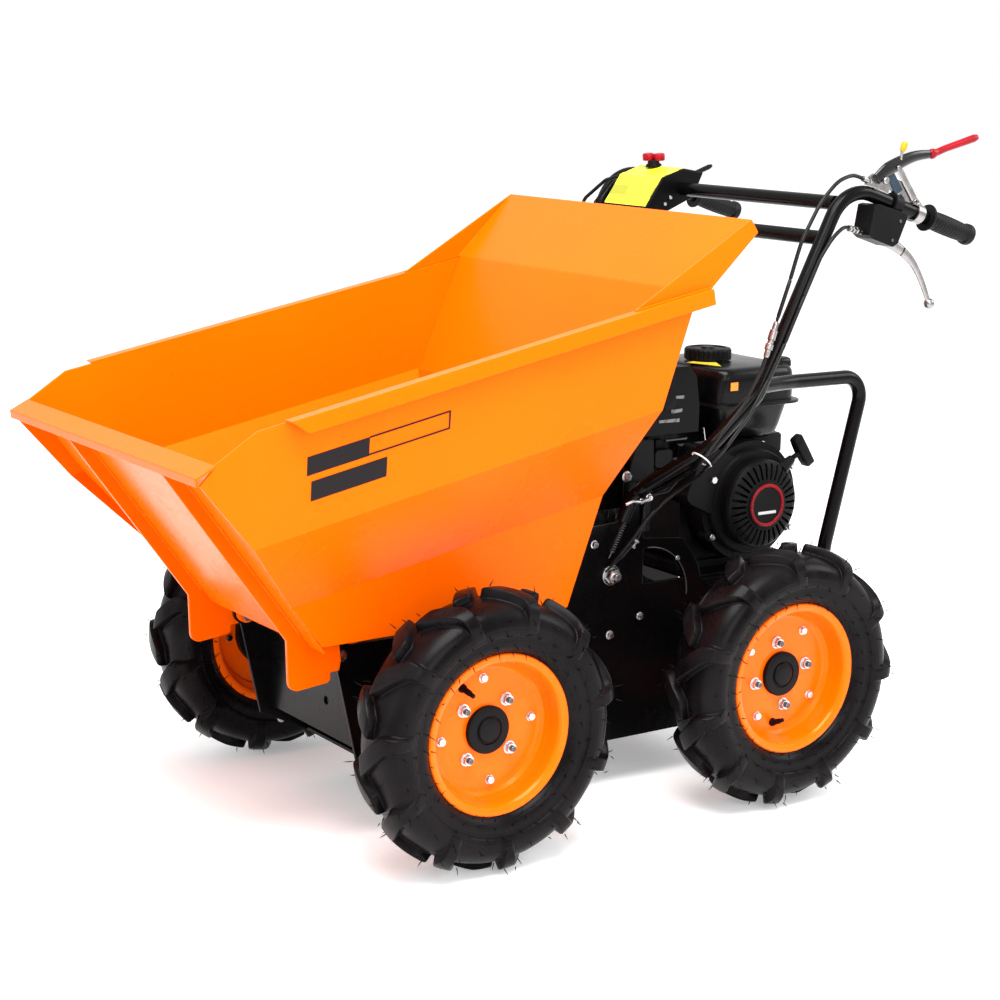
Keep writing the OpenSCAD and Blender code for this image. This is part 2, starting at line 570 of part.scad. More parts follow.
// a pressed can with a louvred guard on two brackets, and its outlet
can = [95, 145];
can_y = fin_y - fin_w/2 - near;      // its flange stands by the cylinder's fins
module muffler() color(iron) from_crank() {
    translate([can[0], can_y, can[1]]) rotate([90, 0, 0]) linear_extrude(104) pad(104, 118, 26);
    translate([can[0], can_y, can[1]]) rotate([90, 0, 0]) linear_extrude(3) pad(112, 126, 28);
    translate([can[0], can_y - 101, can[1]]) rotate([90, 0, 0]) linear_extrude(3) pad(112, 126, 28);
    difference() {
        translate([can[0], can_y - 116, can[1]]) rotate([90, 0, 0]) linear_extrude(2.5) pad(110, 124, 26);
        for (z = [-44:14.6:44]) translate([can[0] - 38, can_y - 124, can[1] + z - 3]) cube([76, 12, 6]);
    }
    for (x = [-30, 30], z = [-50.5, 50.5]) translate([can[0] + x, can_y - 116, can[1] + z]) rotate([-90, 0, 0]) cylinder(r = 5, h = 14);
    along([can[0] + 50, can_y - 64, can[1] + 20], [can[0] + 72, can_y - 64, can[1] + 8], 12);
}

// ---------- handlebars, guard and controls ----------

bar = bar_half_w;
foot_y = frame_half_w + gap + bar_r;
bar_rise = 38/120;                   // the grips' slope
bar_bend = [-172, bar, 911];
function on_bar(x) = bar_bend + (x - bar_bend[0])*[1, 0, bar_rise];
bar_end = on_bar(-385);
handle_path = [bar_end, bar_bend, [-100, bar, 888], [37, bar, 622], [112, bar - 15, 548],
    [158, foot_y + 17, 480], [handle_foot[0], foot_y, handle_foot[1]], [handle_foot[0] + 16, foot_y, 424]];
module handle() color(black) from_rear() bent(handle_path, bar_r, 24);

module crossbar(x, z) color(black) from_rear()
    along([x, bar_r + near - bar, z], [x, bar - bar_r - near, z], bar_r);

guard_path = [[-20, bar - bar_r - near - bar_r, 632], [-60, guard_half_w + 3, 631], [-205, guard_half_w, 630],
    [-205, guard_half_w, 585], [-150, guard_half_w - 5, 370], [-140, guard_half_w - 8, 290], [-140, frame_half_w + gap, 290]];
module guard() color(black) from_rear() bent(guard_path, bar_r, 20);

// a moulded grip: a tall flange, a neck, a full middle and a collar at its end
grip_tip = on_bar(-400);
grip_root = on_bar(-292);
module grip() color(rubber) from_rear() aim(grip_root, grip_tip) difference() {
    h = norm(grip_root - grip_tip);
    rotate_extrude() polygon([[0, 0], [grip_d/2 + 5, 0], [grip_d/2 + 6, 1.5], [grip_d/2 + 5, 5], [grip_d/2 - 2, 7],
        [grip_d/2 - 2.5, 14], [grip_d/2 - 1, 30], [grip_d/2, 52], [grip_d/2 - 1, 76], [grip_d/2 - 2, 96], [grip_d/2 + 0.5, 99],
        [grip_d/2 + 0.5, h - 3], [grip_d/2 - 2, h], [0, h]]);
    translate([0, 0, -1]) cylinder(r = bar_r + gap, h = norm(grip_root - bar_end) + 1 + gap);
}

// the clutch lever's bracket, clamped to the left bar behind the brake's housing
module lever_bracket() color(iron) from_rear() difference() {
    union() {
        upright(bar, 6) polygon([[-160, 926], [-164, 936], [-176, 942], [-200, 941], [-245, 925], [-277, 894],
            [-277, 884], [-262, 884], [-234, 904], [-234, 909.6], [-206, 918.4], [-206, 912.9], [-190, 917.8], [-172, 923.2]]);
        along(on_bar(-275), on_bar(-261), bar_r + 4);
        along([-195, bar - 8, 931], [-195, bar + 3, 931], 7);
        along([-164, bar, 932], [-154, bar, 935], 4.6);
    }
    along(on_bar(-300), on_bar(-180), bar_r + near);
}

module clutch_lever() color(red) from_rear() {
    upright(bar + 6.5, 6) polygon([[-183, 922], [-205, 922], [-207, 936], [-232, 955], [-292, 963], [-293, 972], [-232, 967],
        [-190, 950], [-174, 942], [-174, 930]]);
    aim([-286, bar + 6.5, 966.5], [-384, bar + 6.5, 994]) rotate_extrude()
        polygon([[0, 0], [6.5, 0], [7, 10], [7, 40], [9, 70], [9.5, 94], [7.5, 101.5], [0, 101.8]]);
}

// the brake lever's root lies against the heel of its housing
heel = [[-206, 833], [-216, 838], [-222, 851]];
module lever_housing() color(black) from_rear() difference() {
    union() {
        upright(bar, 36) polygon(concat([[-232, 882], [-172, 898], [-164, 896], [-156, 852], [-164, 846]], heel,
            [[-234, 877]]));
        along(on_bar(-228), on_bar(-212), bar_r + 5);
        along([-158, bar, 856], [-132, bar, 862], 3.6);
        along([-160, bar, 855.5], [-150, bar, 858], 5.5);
    }
    along(on_bar(-260), on_bar(-172), bar_r + near);
}

module brake_lever() color(steel) from_rear() {
    difference() {
        upright(bar, 11) polygon(concat([[-203, 827]], [for (i = [0:2]) mitred(heel, i, near)], [[-243, 845.5],
            [-262, 830], [-287, 806], [-303, 772], [-312, 742], [-303, 738], [-294, 760], [-273, 797], [-240, 822]]));
        for (s = [-1, 1]) upright(bar + s*5.5, 5) polygon([[-240, 834], [-246, 836], [-281, 803], [-293, 776], [-289, 774],
            [-275, 798]]);
    }
    translate([-307, bar, 740]) sphere(9);
}

// the console: a plate bent over the upper crossbar between two cheeks, on the right
cross_up = [-112, 899];
cross_low = [-84, 848];
console_y = [-205, -75];
console_sheet = [[-182, 932], [-112, 936], [-62, 917], [-50, 871]];
console_t = 2.5;
top_dir = unit(console_sheet[1] - console_sheet[0]);
module on_console(s, y) translate([console_sheet[0][0], y, console_sheet[0][1]])
    rotate([0, -atan2(top_dir[1], top_dir[0]), 0]) translate([s, 0, console_t + near]) children();
module console() color(iron) from_rear() difference() {
    union() {
        upright((console_y[0] + console_y[1])/2, console_y[1] - console_y[0]) folded(console_sheet, console_t, 0, 3);
        for (y = [console_y[0] + 2, console_y[1] - 2]) upright(y, 4) polygon([console_sheet[0] + [40, 0], console_sheet[1],
            console_sheet[2], console_sheet[3] + [-2, 2], [-90, 876], [-134, 886]]);
    }
    along([cross_up[0], -300, cross_up[1]], [cross_up[0], 300, cross_up[1]], bar_r + near);
    for (p = [[-78, 888], [-128, 900]]) translate([p[0], 0, p[1]]) rotate([90, 0, 0]) cylinder(r = 4, h = 500, center = true);
}

// a two-lobed push knob on a collar
module stop_knob() color(red) from_rear() on_console(54, -167) {
    cylinder(r = 11, h = 8);
    for (s = [-1, 1]) translate([s*7, s*3, 8]) cylinder(r = 9.5, h = 7);
    translate([0, 0, 15]) cylinder(r = 8, h = 4);
}

module throttle() color(black) from_rear() on_console(32, -130) {
    linear_extrude(5) pad(44, 22, 6);
    along([-8, 0, 3.5], [-26, 0, 13], 4);
    aim([-22, 0, 11], [-54, 0, 27]) rotate_extrude($fn = 32)
        polygon([[0, 0], [4.5, 0], [7, 12], [7.5, 24], [6, 32], [0, 34]]);
}

// ---------- cables, sheathed from end to end ----------

sheath = cable_d/2;
out_y = bar + bar_r + near + sheath;    // beside the left bar, on its outer face
in_y = bar - bar_r - near - sheath;     // beside the right bar, on its inner face
cheek_y = console_y[0] - near;          // the console's right cheek
flank_y = -70 - near;                   // the crankcase's right side
plate_out_y = frame_half_w + near + sheath;
clutch_cable = [[-153, bar, 935.4], [-128, bar + 4, 939], [-90, out_y, 926], [-55, out_y, 890], [-22, out_y, 840],
    [-5, out_y, 790], [16, out_y, 735], [42, out_y, 662], [74, out_y - 2, 610], [118, out_y - 8, 562], [128, 272, 534],
    [124, 246, 512], [112, 210, 497], [124, 182, 476], [140, plate_out_y, 454], [141, plate_out_y, 404]];
brake_cable = [[-130.6, bar, 862.3], [-112, bar + 9, 865], [-84, out_y + 2, 851], [-62, out_y, 820], [-34, out_y, 766],
    [0, out_y, 697], [30, out_y, 645], [66, out_y + 3, 596], [112, out_y - 1, 544], [118, 266, 518],
    [106, 236, 500], [108, 200, 476], [126, 178, 452], [156, 174, 426], [172, 168, 400], [204, plate_out_y + 4, 356]];
module cables_left() color(black) from_rear() {
    bent(clutch_cable, sheath, 16, 8);
    bent(brake_cable, sheath, 16, 8);
    aim([20, out_y, 723.6], [36, out_y, 679]) rotate_extrude($fn = 24)
        polygon([[0, 0], [3.6, 0], [3.6, 8], [5.5, 9], [5.5, 26], [4.2, 27], [4.2, 47], [0, 47]]);
}
module cables_right() color(black) from_rear() {
    bent([[-98, cheek_y, 922], [-86, -246, 908], [-64, -in_y, 868], [-45, -in_y, 800], [-2, -in_y, 712],
          [10, -238, 660], [-8, -170, 560], [-28, -110, 486], [-30, flank_y, 470]], sheath, 14, 8);
    bent([[-84, cheek_y, 918], [-68, -244, 906], [-46, -272, 874], [-36, 3 - bar, 836], [-26, 3 - bar, 790],
          [14, 3 - bar, 712], [32, -258, 644], [22, -190, 560], [0, -110, 480], [-6, flank_y, 462]], sheath, 14, 8);
}

// ---------- every named piece ----------

module wheel_at(x, spin) from_rear() on_axle(x, spin) children();
module tyre_and_valve(x, tread, spin) {
    wheel_at(x, tread) tyre();
    color(rubber) wheel_at(x, spin) valve();
}

tyre_and_valve(wheelbase, front_tread, front_spin);  // tyre_front_left
wheel_at(wheelbase, front_spin) rim();  // rim_front_left
wheel_at(wheelbase, front_spin) hub();  // hub_front_left
wheel_at(wheelbase, front_spin) nuts();  // nuts_front_left
other_side() tyre_and_valve(wheelbase, front_tread, front_spin);  // tyre_front_right
other_side() wheel_at(wheelbase, front_spin) rim();  // rim_front_right
other_side() wheel_at(wheelbase, front_spin) hub();  // hub_front_right
other_side() wheel_at(wheelbase, front_spin) nuts();  // nuts_front_right
tyre_and_valve(0, rear_tread, rear_spin);  // tyre_rear_left
wheel_at(0, rear_spin) rim();  // rim_rear_left
wheel_at(0, rear_spin) hub();  // hub_rear_left
wheel_at(0, rear_spin) nuts();  // nuts_rear_left
other_side() tyre_and_valve(0, rear_tread, rear_spin);  // tyre_rear_right
other_side() wheel_at(0, rear_spin) rim();  // rim_rear_right
other_side() wheel_at(0, rear_spin) hub();  // hub_rear_right
other_side() wheel_at(0, rear_spin) nuts();  // nuts_rear_right
skip_side();  // skip_left
other_side() skip_side();  // skip_right
skip_front();
skip_rear();
skip_floor();
hood();
rib();  // rib_left
other_side() rib();  // rib_right
tip_pin();
side_plate();  // side_plate_left
other_side() side_plate();  // side_plate_right
front_plate();
cross_plate(-110, wheelbase + 137, frame_low_z);  // floor_plate
cross_plate(deck_x[0], deck_x[1] - deck_x[0], deck_z - plate);  // deck_plate
axle(wheelbase);  // axle_front
axle(0);  // axle_rear
gearbox();
engine_block();
blower();
starter();
starter_pull();
fuel_tank();
fuel_cap();
air_box();
carburettor();
muffler();
handle();  // handle_left
other_side() handle();  // handle_right
crossbar(cross_up[0], cross_up[1]);  // crossbar_upper
crossbar(cross_low[0], cross_low[1]);  // crossbar_lower
guard();  // guard_left
other_side() guard();  // guard_right
grip();  // grip_left
other_side() grip();  // grip_right
clutch_lever();
brake_lever();
lever_bracket();
lever_housing();
console();
stop_knob();
throttle();
cables_left();
cables_right();
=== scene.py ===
"""A walk-behind motorized dumper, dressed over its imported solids.

The frame gives the solids, their bodies and their joints. Each operator adds one group of finished pieces: a piece is a
mesh of swept, turned or moulded shapes, it rides on one body, and it may stand for the solids that it covers. Every
piece and every solid wears a procedural finish.
"""
import json
import math

import bmesh
import bpy
import numpy as np
from bpy.props import FloatProperty, FloatVectorProperty, PointerProperty
from mathutils import Matrix, Vector


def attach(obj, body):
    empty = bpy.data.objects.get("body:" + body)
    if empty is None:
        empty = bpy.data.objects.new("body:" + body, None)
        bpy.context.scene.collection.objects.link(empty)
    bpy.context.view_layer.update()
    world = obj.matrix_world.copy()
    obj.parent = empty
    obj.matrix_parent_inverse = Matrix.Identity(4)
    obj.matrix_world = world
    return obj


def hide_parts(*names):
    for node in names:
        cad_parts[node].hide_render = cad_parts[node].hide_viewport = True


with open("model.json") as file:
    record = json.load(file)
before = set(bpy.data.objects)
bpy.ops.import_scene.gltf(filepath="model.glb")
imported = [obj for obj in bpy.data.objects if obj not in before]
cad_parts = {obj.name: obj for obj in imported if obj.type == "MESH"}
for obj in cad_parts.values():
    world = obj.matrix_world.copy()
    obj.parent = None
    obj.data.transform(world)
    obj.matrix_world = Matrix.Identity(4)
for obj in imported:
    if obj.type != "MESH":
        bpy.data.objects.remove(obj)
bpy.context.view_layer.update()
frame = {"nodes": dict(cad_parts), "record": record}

bl_info = {
    "name": "Motorized dumper",
    "version": (2, 0, 0),
    "blender": (4, 5, 0),
    "location": "View3D > Sidebar > Dumper",
    "description": "Builds the finished surfaces of a walk-behind tipping dumper",
    "category": "Object",
}

MM = 0.001
JOINTS = {joint["child"]: joint["pos_m"] for joint in frame["record"]["behaviour"]["joints"]}
REAR_X = JOINTS["wheel_rear_left"][0]
# the middle of each wheel, in millimetres from the rear axle, the machine's middle and the ground
WHEELS = {body: np.array(place)/MM - (REAR_X/MM, 0, 0) for body, place in JOINTS.items() if body.startswith("wheel_")}
WHEELBASE = WHEELS["wheel_front_left"][0]*MM
AXLE_Z = WHEELS["wheel_front_left"][2]*MM


# ---- shader maths

class Signal:
    """A value that varies over a surface. Arithmetic on it adds Math nodes to its finish."""

    def __init__(self, finish, socket):
        self.finish, self.socket = finish, socket

    def math(self, operation, *others):
        return self.finish.math(operation, self, *others)

    def __add__(self, other): return self.math("ADD", other)
    def __sub__(self, other): return self.math("SUBTRACT", other)
    def __rsub__(self, other): return self.finish.math("SUBTRACT", other, self)
    def __mul__(self, other): return self.math("MULTIPLY", other)
    def __pow__(self, other): return self.math("POWER", other)

    def ramp(self, low, high, start=0.0, end=1.0):
        """start below low, end above high, and a smooth step between."""
        return self.finish.node("ShaderNodeMapRange", {"interpolation_type": "SMOOTHSTEP"},
                                (self, low, high, start, end))

    def within(self, low, high, soft):
        """1 from low to high, 0 beyond, with soft steps."""
        return self.ramp(low - soft, low + soft)*self.ramp(high - soft, high + soft, 1.0, 0.0)


class Finish:
    """A material: one Principled shader and the nodes that feed it."""

    def __init__(self, name, colour, roughness, **constants):
        self.material = bpy.data.materials.new(name)
        self.material.use_nodes = True
        self.tree = self.material.node_tree
        self.shader = self.tree.nodes["Principled BSDF"]
        self.set(self.shader, {"Base Color": (*colour, 1.0), "Roughness": roughness, **constants})
        self.material.diffuse_color = (*colour, 1.0)

    def add(self, kind, settings=None):
        node = self.tree.nodes.new(kind)
        for key, value in (settings or {}).items():
            setattr(node, key, value)
        return node

    def feed(self, slot, value):
        if isinstance(value, Signal):
            self.tree.links.new(value.socket, slot)
        elif value is not None:
            slot.default_value = value

    def set(self, node, inputs):
        """Constants or links for a node's sockets, by name."""
        for socket, value in inputs.items():
            self.feed(node.inputs[socket.replace("_", " ")], value)

    def node(self, kind, settings=None, values=(), output=0, **inputs):
        """A node: its settings, the values of its first sockets in order, and of others by name."""
        node = self.add(kind, settings)
        for slot, value in zip(node.inputs, values):
            self.feed(slot, value)
        self.set(node, inputs)
        return Signal(self, node.outputs[output])

    def math(self, operation, *values):
        return self.node("ShaderNodeMath", {"operation": operation}, values)

    def place(self):
        return self.node("ShaderNodeTexCoord", output="Object")

    def axes(self):
        """Forward, left and up, in metres from the rear axle and the ground."""
        parts = self.add("ShaderNodeSeparateXYZ")
        self.feed(parts.inputs[0], self.place())
        x, y, z = (Signal(self, socket) for socket in parts.outputs)
        return x - REAR_X, y, z

    def from_axle(self):
        """Distance from the nearest wheel's axis: forward places wrap round every wheelbase."""
        x, y, z = self.axes()
        near = x.math("WRAP", WHEELBASE/2, -WHEELBASE/2)
        return (near*near + (z - AXLE_Z)*(z - AXLE_Z))**0.5

    def noise(self, scale, detail=3.0, roughness=0.5, stretch=None):
        where = self.place()
        if stretch:
            where = self.node("ShaderNodeMapping", Vector=where, Scale=stretch)
        return self.node("ShaderNodeTexNoise", Vector=where, Scale=scale, Detail=detail, Roughness=roughness)

    def tone(self, factor, low, high):
        """A colour between two others, by a signal. A Mix node's colours are its seventh and eighth sockets."""
        low, high = ((*end, 1.0) if isinstance(end, tuple) else end for end in (low, high))
        return self.node("ShaderNodeMix", {"data_type": "RGBA"}, (factor, *(None,)*5, low, high), 2)

    def edges(self, width):
        """0 on the flats and more near edges, from how far the rounded normal turns."""
        return 1.0 - self.node("ShaderNodeVectorMath", {"operation": "DOT_PRODUCT"}, (
            self.node("ShaderNodeBevel", {"samples": 6}, Radius=width),
            self.node("ShaderNodeNewGeometry", output="Normal")), "Value")

    def bump(self, height, strength, distance, edge=0.0):
        """Relief from a height signal, over edges that are rounded off by edge metres."""
        under = self.node("ShaderNodeBevel", {"samples": 8}, Radius=edge) if edge else None
        self.colour(Normal=self.node("ShaderNodeBump", Height=height, Strength=strength, Distance=distance,
                                     Normal=under))

    def colour(self, **links):
        self.set(self.shader, links)


# ---- finishes

def shade(colour, gain, lift=0.0):
    """The same hue, lighter or darker."""
    return tuple(min(1.0, gain*channel + lift) for channel in colour)


def paint(name, colour, roughness, coat, level, edge, tint=(1.0, 1.0, 1.0)):
    """Baked paint on steel sheet: orange peel, uneven gloss, and painted highlights: thin lighter patches of paint
    along edges.
    """
    f = Finish(name, colour, roughness, Coat_Weight=coat, Coat_Roughness=0.08, Specular_IOR_Level=level,
               Specular_Tint=(*tint, 1.0))
    cloud = f.noise(3.0, 4.0)
    # painted highlight: the paint is lightened in patches along its edges, where the rounded normal turns
    painted_highlight = f.edges(0.8*edge).ramp(0.10, 0.30)*f.noise(55.0, 4.0).ramp(0.45, 0.62)
    flat = f.tone(cloud.ramp(0.35, 0.7), shade(colour, 0.93), colour)
    f.colour(Base_Color=f.tone(painted_highlight*0.35, flat, shade(colour, 1.3, 0.05)),
             Roughness=cloud.ramp(0.3, 0.75, roughness - 0.05, roughness + 0.07)
             + f.noise(25.0, 5.0, 0.6).ramp(0.5, 0.75)*0.05)
    f.bump(f.noise(900.0, 2.0) + f.noise(150.0, 2.0)*0.8, 0.05, 0.0004, edge)
    return f.material


def moulded(name, colour, roughness, grain, level, edge=0.0012):
    """Injection-moulded plastic: a fine sparked grain, an uneven sheen and a little dust."""
    f = Finish(name, colour, roughness, Specular_IOR_Level=level)
    cloud = f.noise(14.0, 4.0)
    dust = f.noise(45.0, 6.0, 0.65).ramp(0.55, 0.8)*0.12
    f.colour(Base_Color=f.tone(cloud.ramp(0.3, 0.75) + dust, shade(colour, 0.8), shade(colour, 1.25)),
             Roughness=cloud.ramp(0.3, 0.7, roughness - 0.05, roughness + 0.07) + dust*0.5)
    f.bump(f.noise(1800.0, 2.0) + cloud*0.3, grain, 0.0003, edge)
    return f.material


def rubber(name, colour, roughness, level, edge=0.0012, tread=False):
    """Moulded rubber: dull with a faint bloom. A tyre also has fine rings round its walls, and a painted highlight on
    its lugs' outer faces.
    """
    f = Finish(name, colour, roughness, Specular_IOR_Level=level)
    cloud = f.noise(9.0, 6.0, 0.6)
    skin = f.tone(cloud.ramp(0.35, 0.8), colour, shade(colour, 1.8, 0.003))
    height = f.noise(700.0, 3.0) + f.noise(60.0, 3.0)*0.6
    if tread:
        radius = f.from_axle()
        wall = radius.within(0.118, 0.158, 0.002)
        fine = (radius*1100.0).math("SINE").ramp(-0.4, 0.4)
        step = radius.within(0.1225, 0.1255, 0.0005) + radius.within(0.1405, 0.1430, 0.0005)
        height = height + wall*fine*0.9 + step*6.0
        # painted highlight: the lugs' outer faces are lightened to grey in patches
        painted_highlight = radius.ramp(0.186, 0.200)*f.noise(35.0, 5.0).ramp(0.42, 0.7)
        skin = f.tone(painted_highlight*0.5, skin, shade(colour, 2.6, 0.004))
    f.colour(Base_Color=skin, Roughness=cloud.ramp(0.25, 0.75, roughness - 0.12, roughness + 0.1))
    f.bump(height, 0.22, 0.0006, edge)
    return f.material


def metal(name, colour, roughness, brush=0.0):
    """Bare or plated metal with fine tool marks."""
    f = Finish(name, colour, roughness, Metallic=1.0)
    cloud = f.noise(60.0, 4.0)
    f.colour(Base_Color=f.tone(cloud.ramp(0.3, 0.7), shade(colour, 0.8), colour),
             Roughness=cloud.ramp(0.3, 0.7, roughness - 0.06, roughness + 0.1))
    f.bump(f.noise(1500.0, 2.0) + f.noise(200.0, 2.0, stretch=(1, 8, 1))*brush, 0.06, 0.0002, 0.0006)
    return f.material


def cast(name, colour, level):
    """Painted casting: a pebbled skin under satin paint."""
    f = Finish(name, colour, 0.5, Specular_IOR_Level=level)
    cloud = f.noise(22.0, 4.0)
    f.colour(Base_Color=f.tone(cloud.ramp(0.3, 0.8), colour, shade(colour, 1.7, 0.002)),
             Roughness=cloud.ramp(0.3, 0.7, 0.4, 0.62))
    pebbles = f.node("ShaderNodeTexVoronoi", Vector=f.place(), Scale=420.0)
    f.bump(pebbles + f.noise(900.0, 2.0), 0.3, 0.0005, 0.002)
    return f.material


def printed(name, ground, ink):
    """A blank printed film: one colour with faint darker bars where a label's rows would be."""
    f = Finish(name, ground, 0.35)
    x, y, z = f.axes()
    rows = ((x + z)*330.0).math("SINE").ramp(0.5, 0.8)*(y*60.0).math("SINE").ramp(0.1, 0.4)
    f.colour(Base_Color=f.tone(rows*0.8, ground, ink), Roughness=f.noise(40.0).ramp(0.3, 0.7, 0.3, 0.42))
    f.bump(f.noise(500.0), 0.05, 0.0002)
    return f.material


FINISHES = {}
# which imported nodes wear each finish, by how their names start
WEARS = {
    "tyre": ("tyre_",), "rim": ("rim_",), "skip": ("skip_", "hood", "rib_"), "grip": ("grip",), "cable": ("cables",),
    "frame": ("side_plate", "front_plate", "floor_plate", "deck_plate", "handle", "crossbar", "guard", "console"),
    "plastic": ("hub_", "blower", "starter", "fuel_cap", "air_box", "lever_housing", "throttle"),
    "gloss": ("fuel_tank",), "cast": ("axle_", "gearbox", "engine_block", "carburettor"), "steel": ("muffler",),
    "zinc": ("nuts_", "tip_pin"), "chrome": ("brake_lever",), "alloy": ("lever_bracket",),
    "red": ("clutch_lever", "stop_knob"),
}
DARK = (0.003, 0.003, 0.0035)       # black plastic and castings


def make_finishes(looks):
    orange, black, warm = (tuple(c) for c in (looks.paint_colour, looks.frame_colour, looks.sheen_colour))
    FINISHES.update(
        skip=paint("skip paint", orange, 0.3, 0.02, 0.20, 0.0022, warm),
        rim=paint("rim paint", orange, 0.24, 0.12, 0.4, 0.0015, warm),
        frame=paint("frame paint", black, 0.25, 0.04, 0.09, 0.0015),
        plastic=moulded("cover plastic", DARK, 0.45, 0.12, 0.10),
        gloss=moulded("tank plastic", DARK, 0.24, 0.04, 0.15),
        cast=cast("engine casting", DARK, 0.12),
        tyre=rubber("tyre rubber", (0.0022, 0.0016, 0.0020), 0.30, 0.07, 0.0028, True),
        hair=rubber("tyre hair rubber", (0.0015, 0.0012, 0.0015), 0.6, 0.05, 0.0),
        grip=rubber("grip rubber", (0.003, 0.003, 0.003), 0.5, 0.12),
        zinc=metal("zinc plating", (0.56, 0.56, 0.57), 0.24),
        chrome=metal("polished steel", (0.50, 0.50, 0.50), 0.16, 0.5),
        steel=metal("dark steel", (0.10, 0.10, 0.11), 0.4),
        alloy=metal("grey alloy", (0.33, 0.315, 0.31), 0.28, 0.5),
        satin=paint("satin black", black, 0.2, 0.3, 0.3, 0.0015),
        red=moulded("red plastic", (0.24, 0.002, 0.007), 0.3, 0.05, 0.16),
        yellow=moulded("yellow plastic", (0.62, 0.22, 0.004), 0.35, 0.05, 0.2),
        blue=moulded("dark blue plastic", (0.008, 0.022, 0.04), 0.4, 0.05, 0.4),
        pale=moulded("pale plastic", (0.62, 0.62, 0.62), 0.4, 0.05, 0.5),
        amber=moulded("amber film", (0.85, 0.25, 0.01), 0.35, 0.04, 0.5),
        yellow_plate=printed("yellow film", (0.80, 0.78, 0.02), (0.20, 0.21, 0.01)),
        tag=printed("tank film", (0.70, 0.60, 0.05), (0.12, 0.10, 0.02)),
        label=printed("grey film", (0.16, 0.16, 0.17), (0.05, 0.05, 0.05)),
        panel=moulded("dark film", (0.006, 0.003, 0.004), 0.35, 0.03, 0.15, 0.0),
        cable=moulded("cable sheath", (0.003, 0.003, 0.003), 0.35, 0.03, 0.2),
    )


# ---- sizes and colours a user may change

class DumperLooks(bpy.types.PropertyGroup):
    paint_colour: FloatVectorProperty(name="Skip paint", description="Colour of the skip and rims",
                                      subtype="COLOR", size=3, min=0, max=1, default=(1.0, 0.125, 0.0))
    sheen_colour: FloatVectorProperty(name="Paint sheen", description="Tint of the paint's own reflections",
                                      subtype="COLOR", size=3, min=0, max=1, default=(1.0, 0.45, 0.08))
    frame_colour: FloatVectorProperty(name="Frame paint", description="Colour of the chassis and handlebars",
                                      subtype="COLOR", size=3, min=0, max=1, default=(0.0018, 0.0016, 0.0018))
    hair_length: FloatProperty(name="Hair length", description="Longest moulding hair on the tyres",
                               unit="LENGTH", subtype="DISTANCE", min=0.001, max=0.02, default=0.011)


class DumperStage(bpy.types.PropertyGroup):
    lens: FloatProperty(name="Lens", description="Focal length of the camera", subtype="DISTANCE_CAMERA",
                        default=77.5, min=20, max=200)
    lamp_power: FloatProperty(name="Lamp power", description="Power of the main soft lamp", unit="POWER",
                              default=110.0, min=0.0, max=500.0)
    daylight: FloatProperty(name="Surroundings", description="Strength of the light from all round",
                            default=1.0, min=0.0, max=3.0)


# ---- surfaces
# Lengths are millimetres: x forward of the rear axle, y left of the machine's middle and z above the ground, until
# make() places them. A shape is its points and its faces.

def unit(vectors):
    vectors = np.asarray(vectors, float)
    return vectors/np.linalg.norm(vectors, axis=-1, keepdims=True)


def rings(grid):
    """Quads from each ring of a grid (rings, points, xyz) to the next, with flat ends."""
    m, n = grid.shape[:2]
    i, j = np.meshgrid(np.arange(m - 1), np.arange(n), indexing="ij")
    a, b = i*n + j, i*n + (j + 1) % n
    faces = np.stack((a, b, b + n, a + n), axis=-1).reshape(-1, 4).tolist()
    return grid.reshape(-1, 3), faces + [list(range(n)), list(range((m - 1)*n, m*n))]


def copied(faces, size, count):
    """The same faces once for each of count copies, whose points follow each other, size to a copy."""
    return [[corner + size*copy for corner in face] for copy in range(count) for face in faces]


def join(shapes):
    """Several shapes as one: their points in a row, their faces counted on."""
    starts = np.cumsum([0] + [len(points) for points, _ in shapes])
    faces = [[corner + start for corner in face] for (_, some), start in zip(shapes, starts) for face in some]
    return np.vstack([points for points, _ in shapes]), faces


def mirrored(shapes):
    """The same shapes on the machine's other side."""
    return [(points*(1, -1, 1), faces) for points, faces in shapes]


def rounded(corners, bend, step):
    """A route through corners, each turned on an arc of its bend's radius or as wide an arc as the spans allow."""
    corners = np.asarray(corners, float)
    route = [corners[:1]]
    bends = np.broadcast_to(np.asarray(bend, float), (len(corners) - 2,))
    for before, here, after, bend in zip(corners[:-2], corners[1:-1], corners[2:], bends):
        u, w = unit(here - before), unit(after - here)
        turn = math.acos(max(-1.0, min(1.0, float(u @ w))))
        if turn < 0.01:
            route.append(here[None])
            continue
        span = min(np.linalg.norm(here - before), np.linalg.norm(after - here))
        bend = min(bend, 0.48*span/math.tan(turn/2))
        inward = unit(w - u*float(u @ w))
        angles = np.linspace(0, turn, max(2, int(math.degrees(turn)/step) + 1))[:, None]
        start = here - u*bend*math.tan(turn/2)
        route.append(start + bend*(np.sin(angles)*u + (1 - np.cos(angles))*inward))
    route.append(corners[-1:])
    return np.vstack(route)


def eased(points, count):
    """A smooth curve through a few points: Catmull-Rom spans, sampled evenly in their parameter."""
    p = np.asarray(points, float)
    p = np.vstack((2*p[0] - p[1], p, 2*p[-1] - p[-2]))
    s = np.linspace(0, len(p) - 3 - 1e-9, count)
    i, t = s.astype(int), (s % 1)[:, None]
    a, b, c, d = p[i], p[i + 1], p[i + 2], p[i + 3]
    return 0.5*(2*b + (c - a)*t + (2*a - 5*b + 4*c - d)*t**2 + (3*b - a - 3*c + d)*t**3)


def ahead_of(route):
    """The direction of travel at each point of a route."""
    steps = unit(np.diff(route, axis=0))
    return unit(np.vstack((steps[:1], steps[:-1] + steps[1:], steps[-1:])))


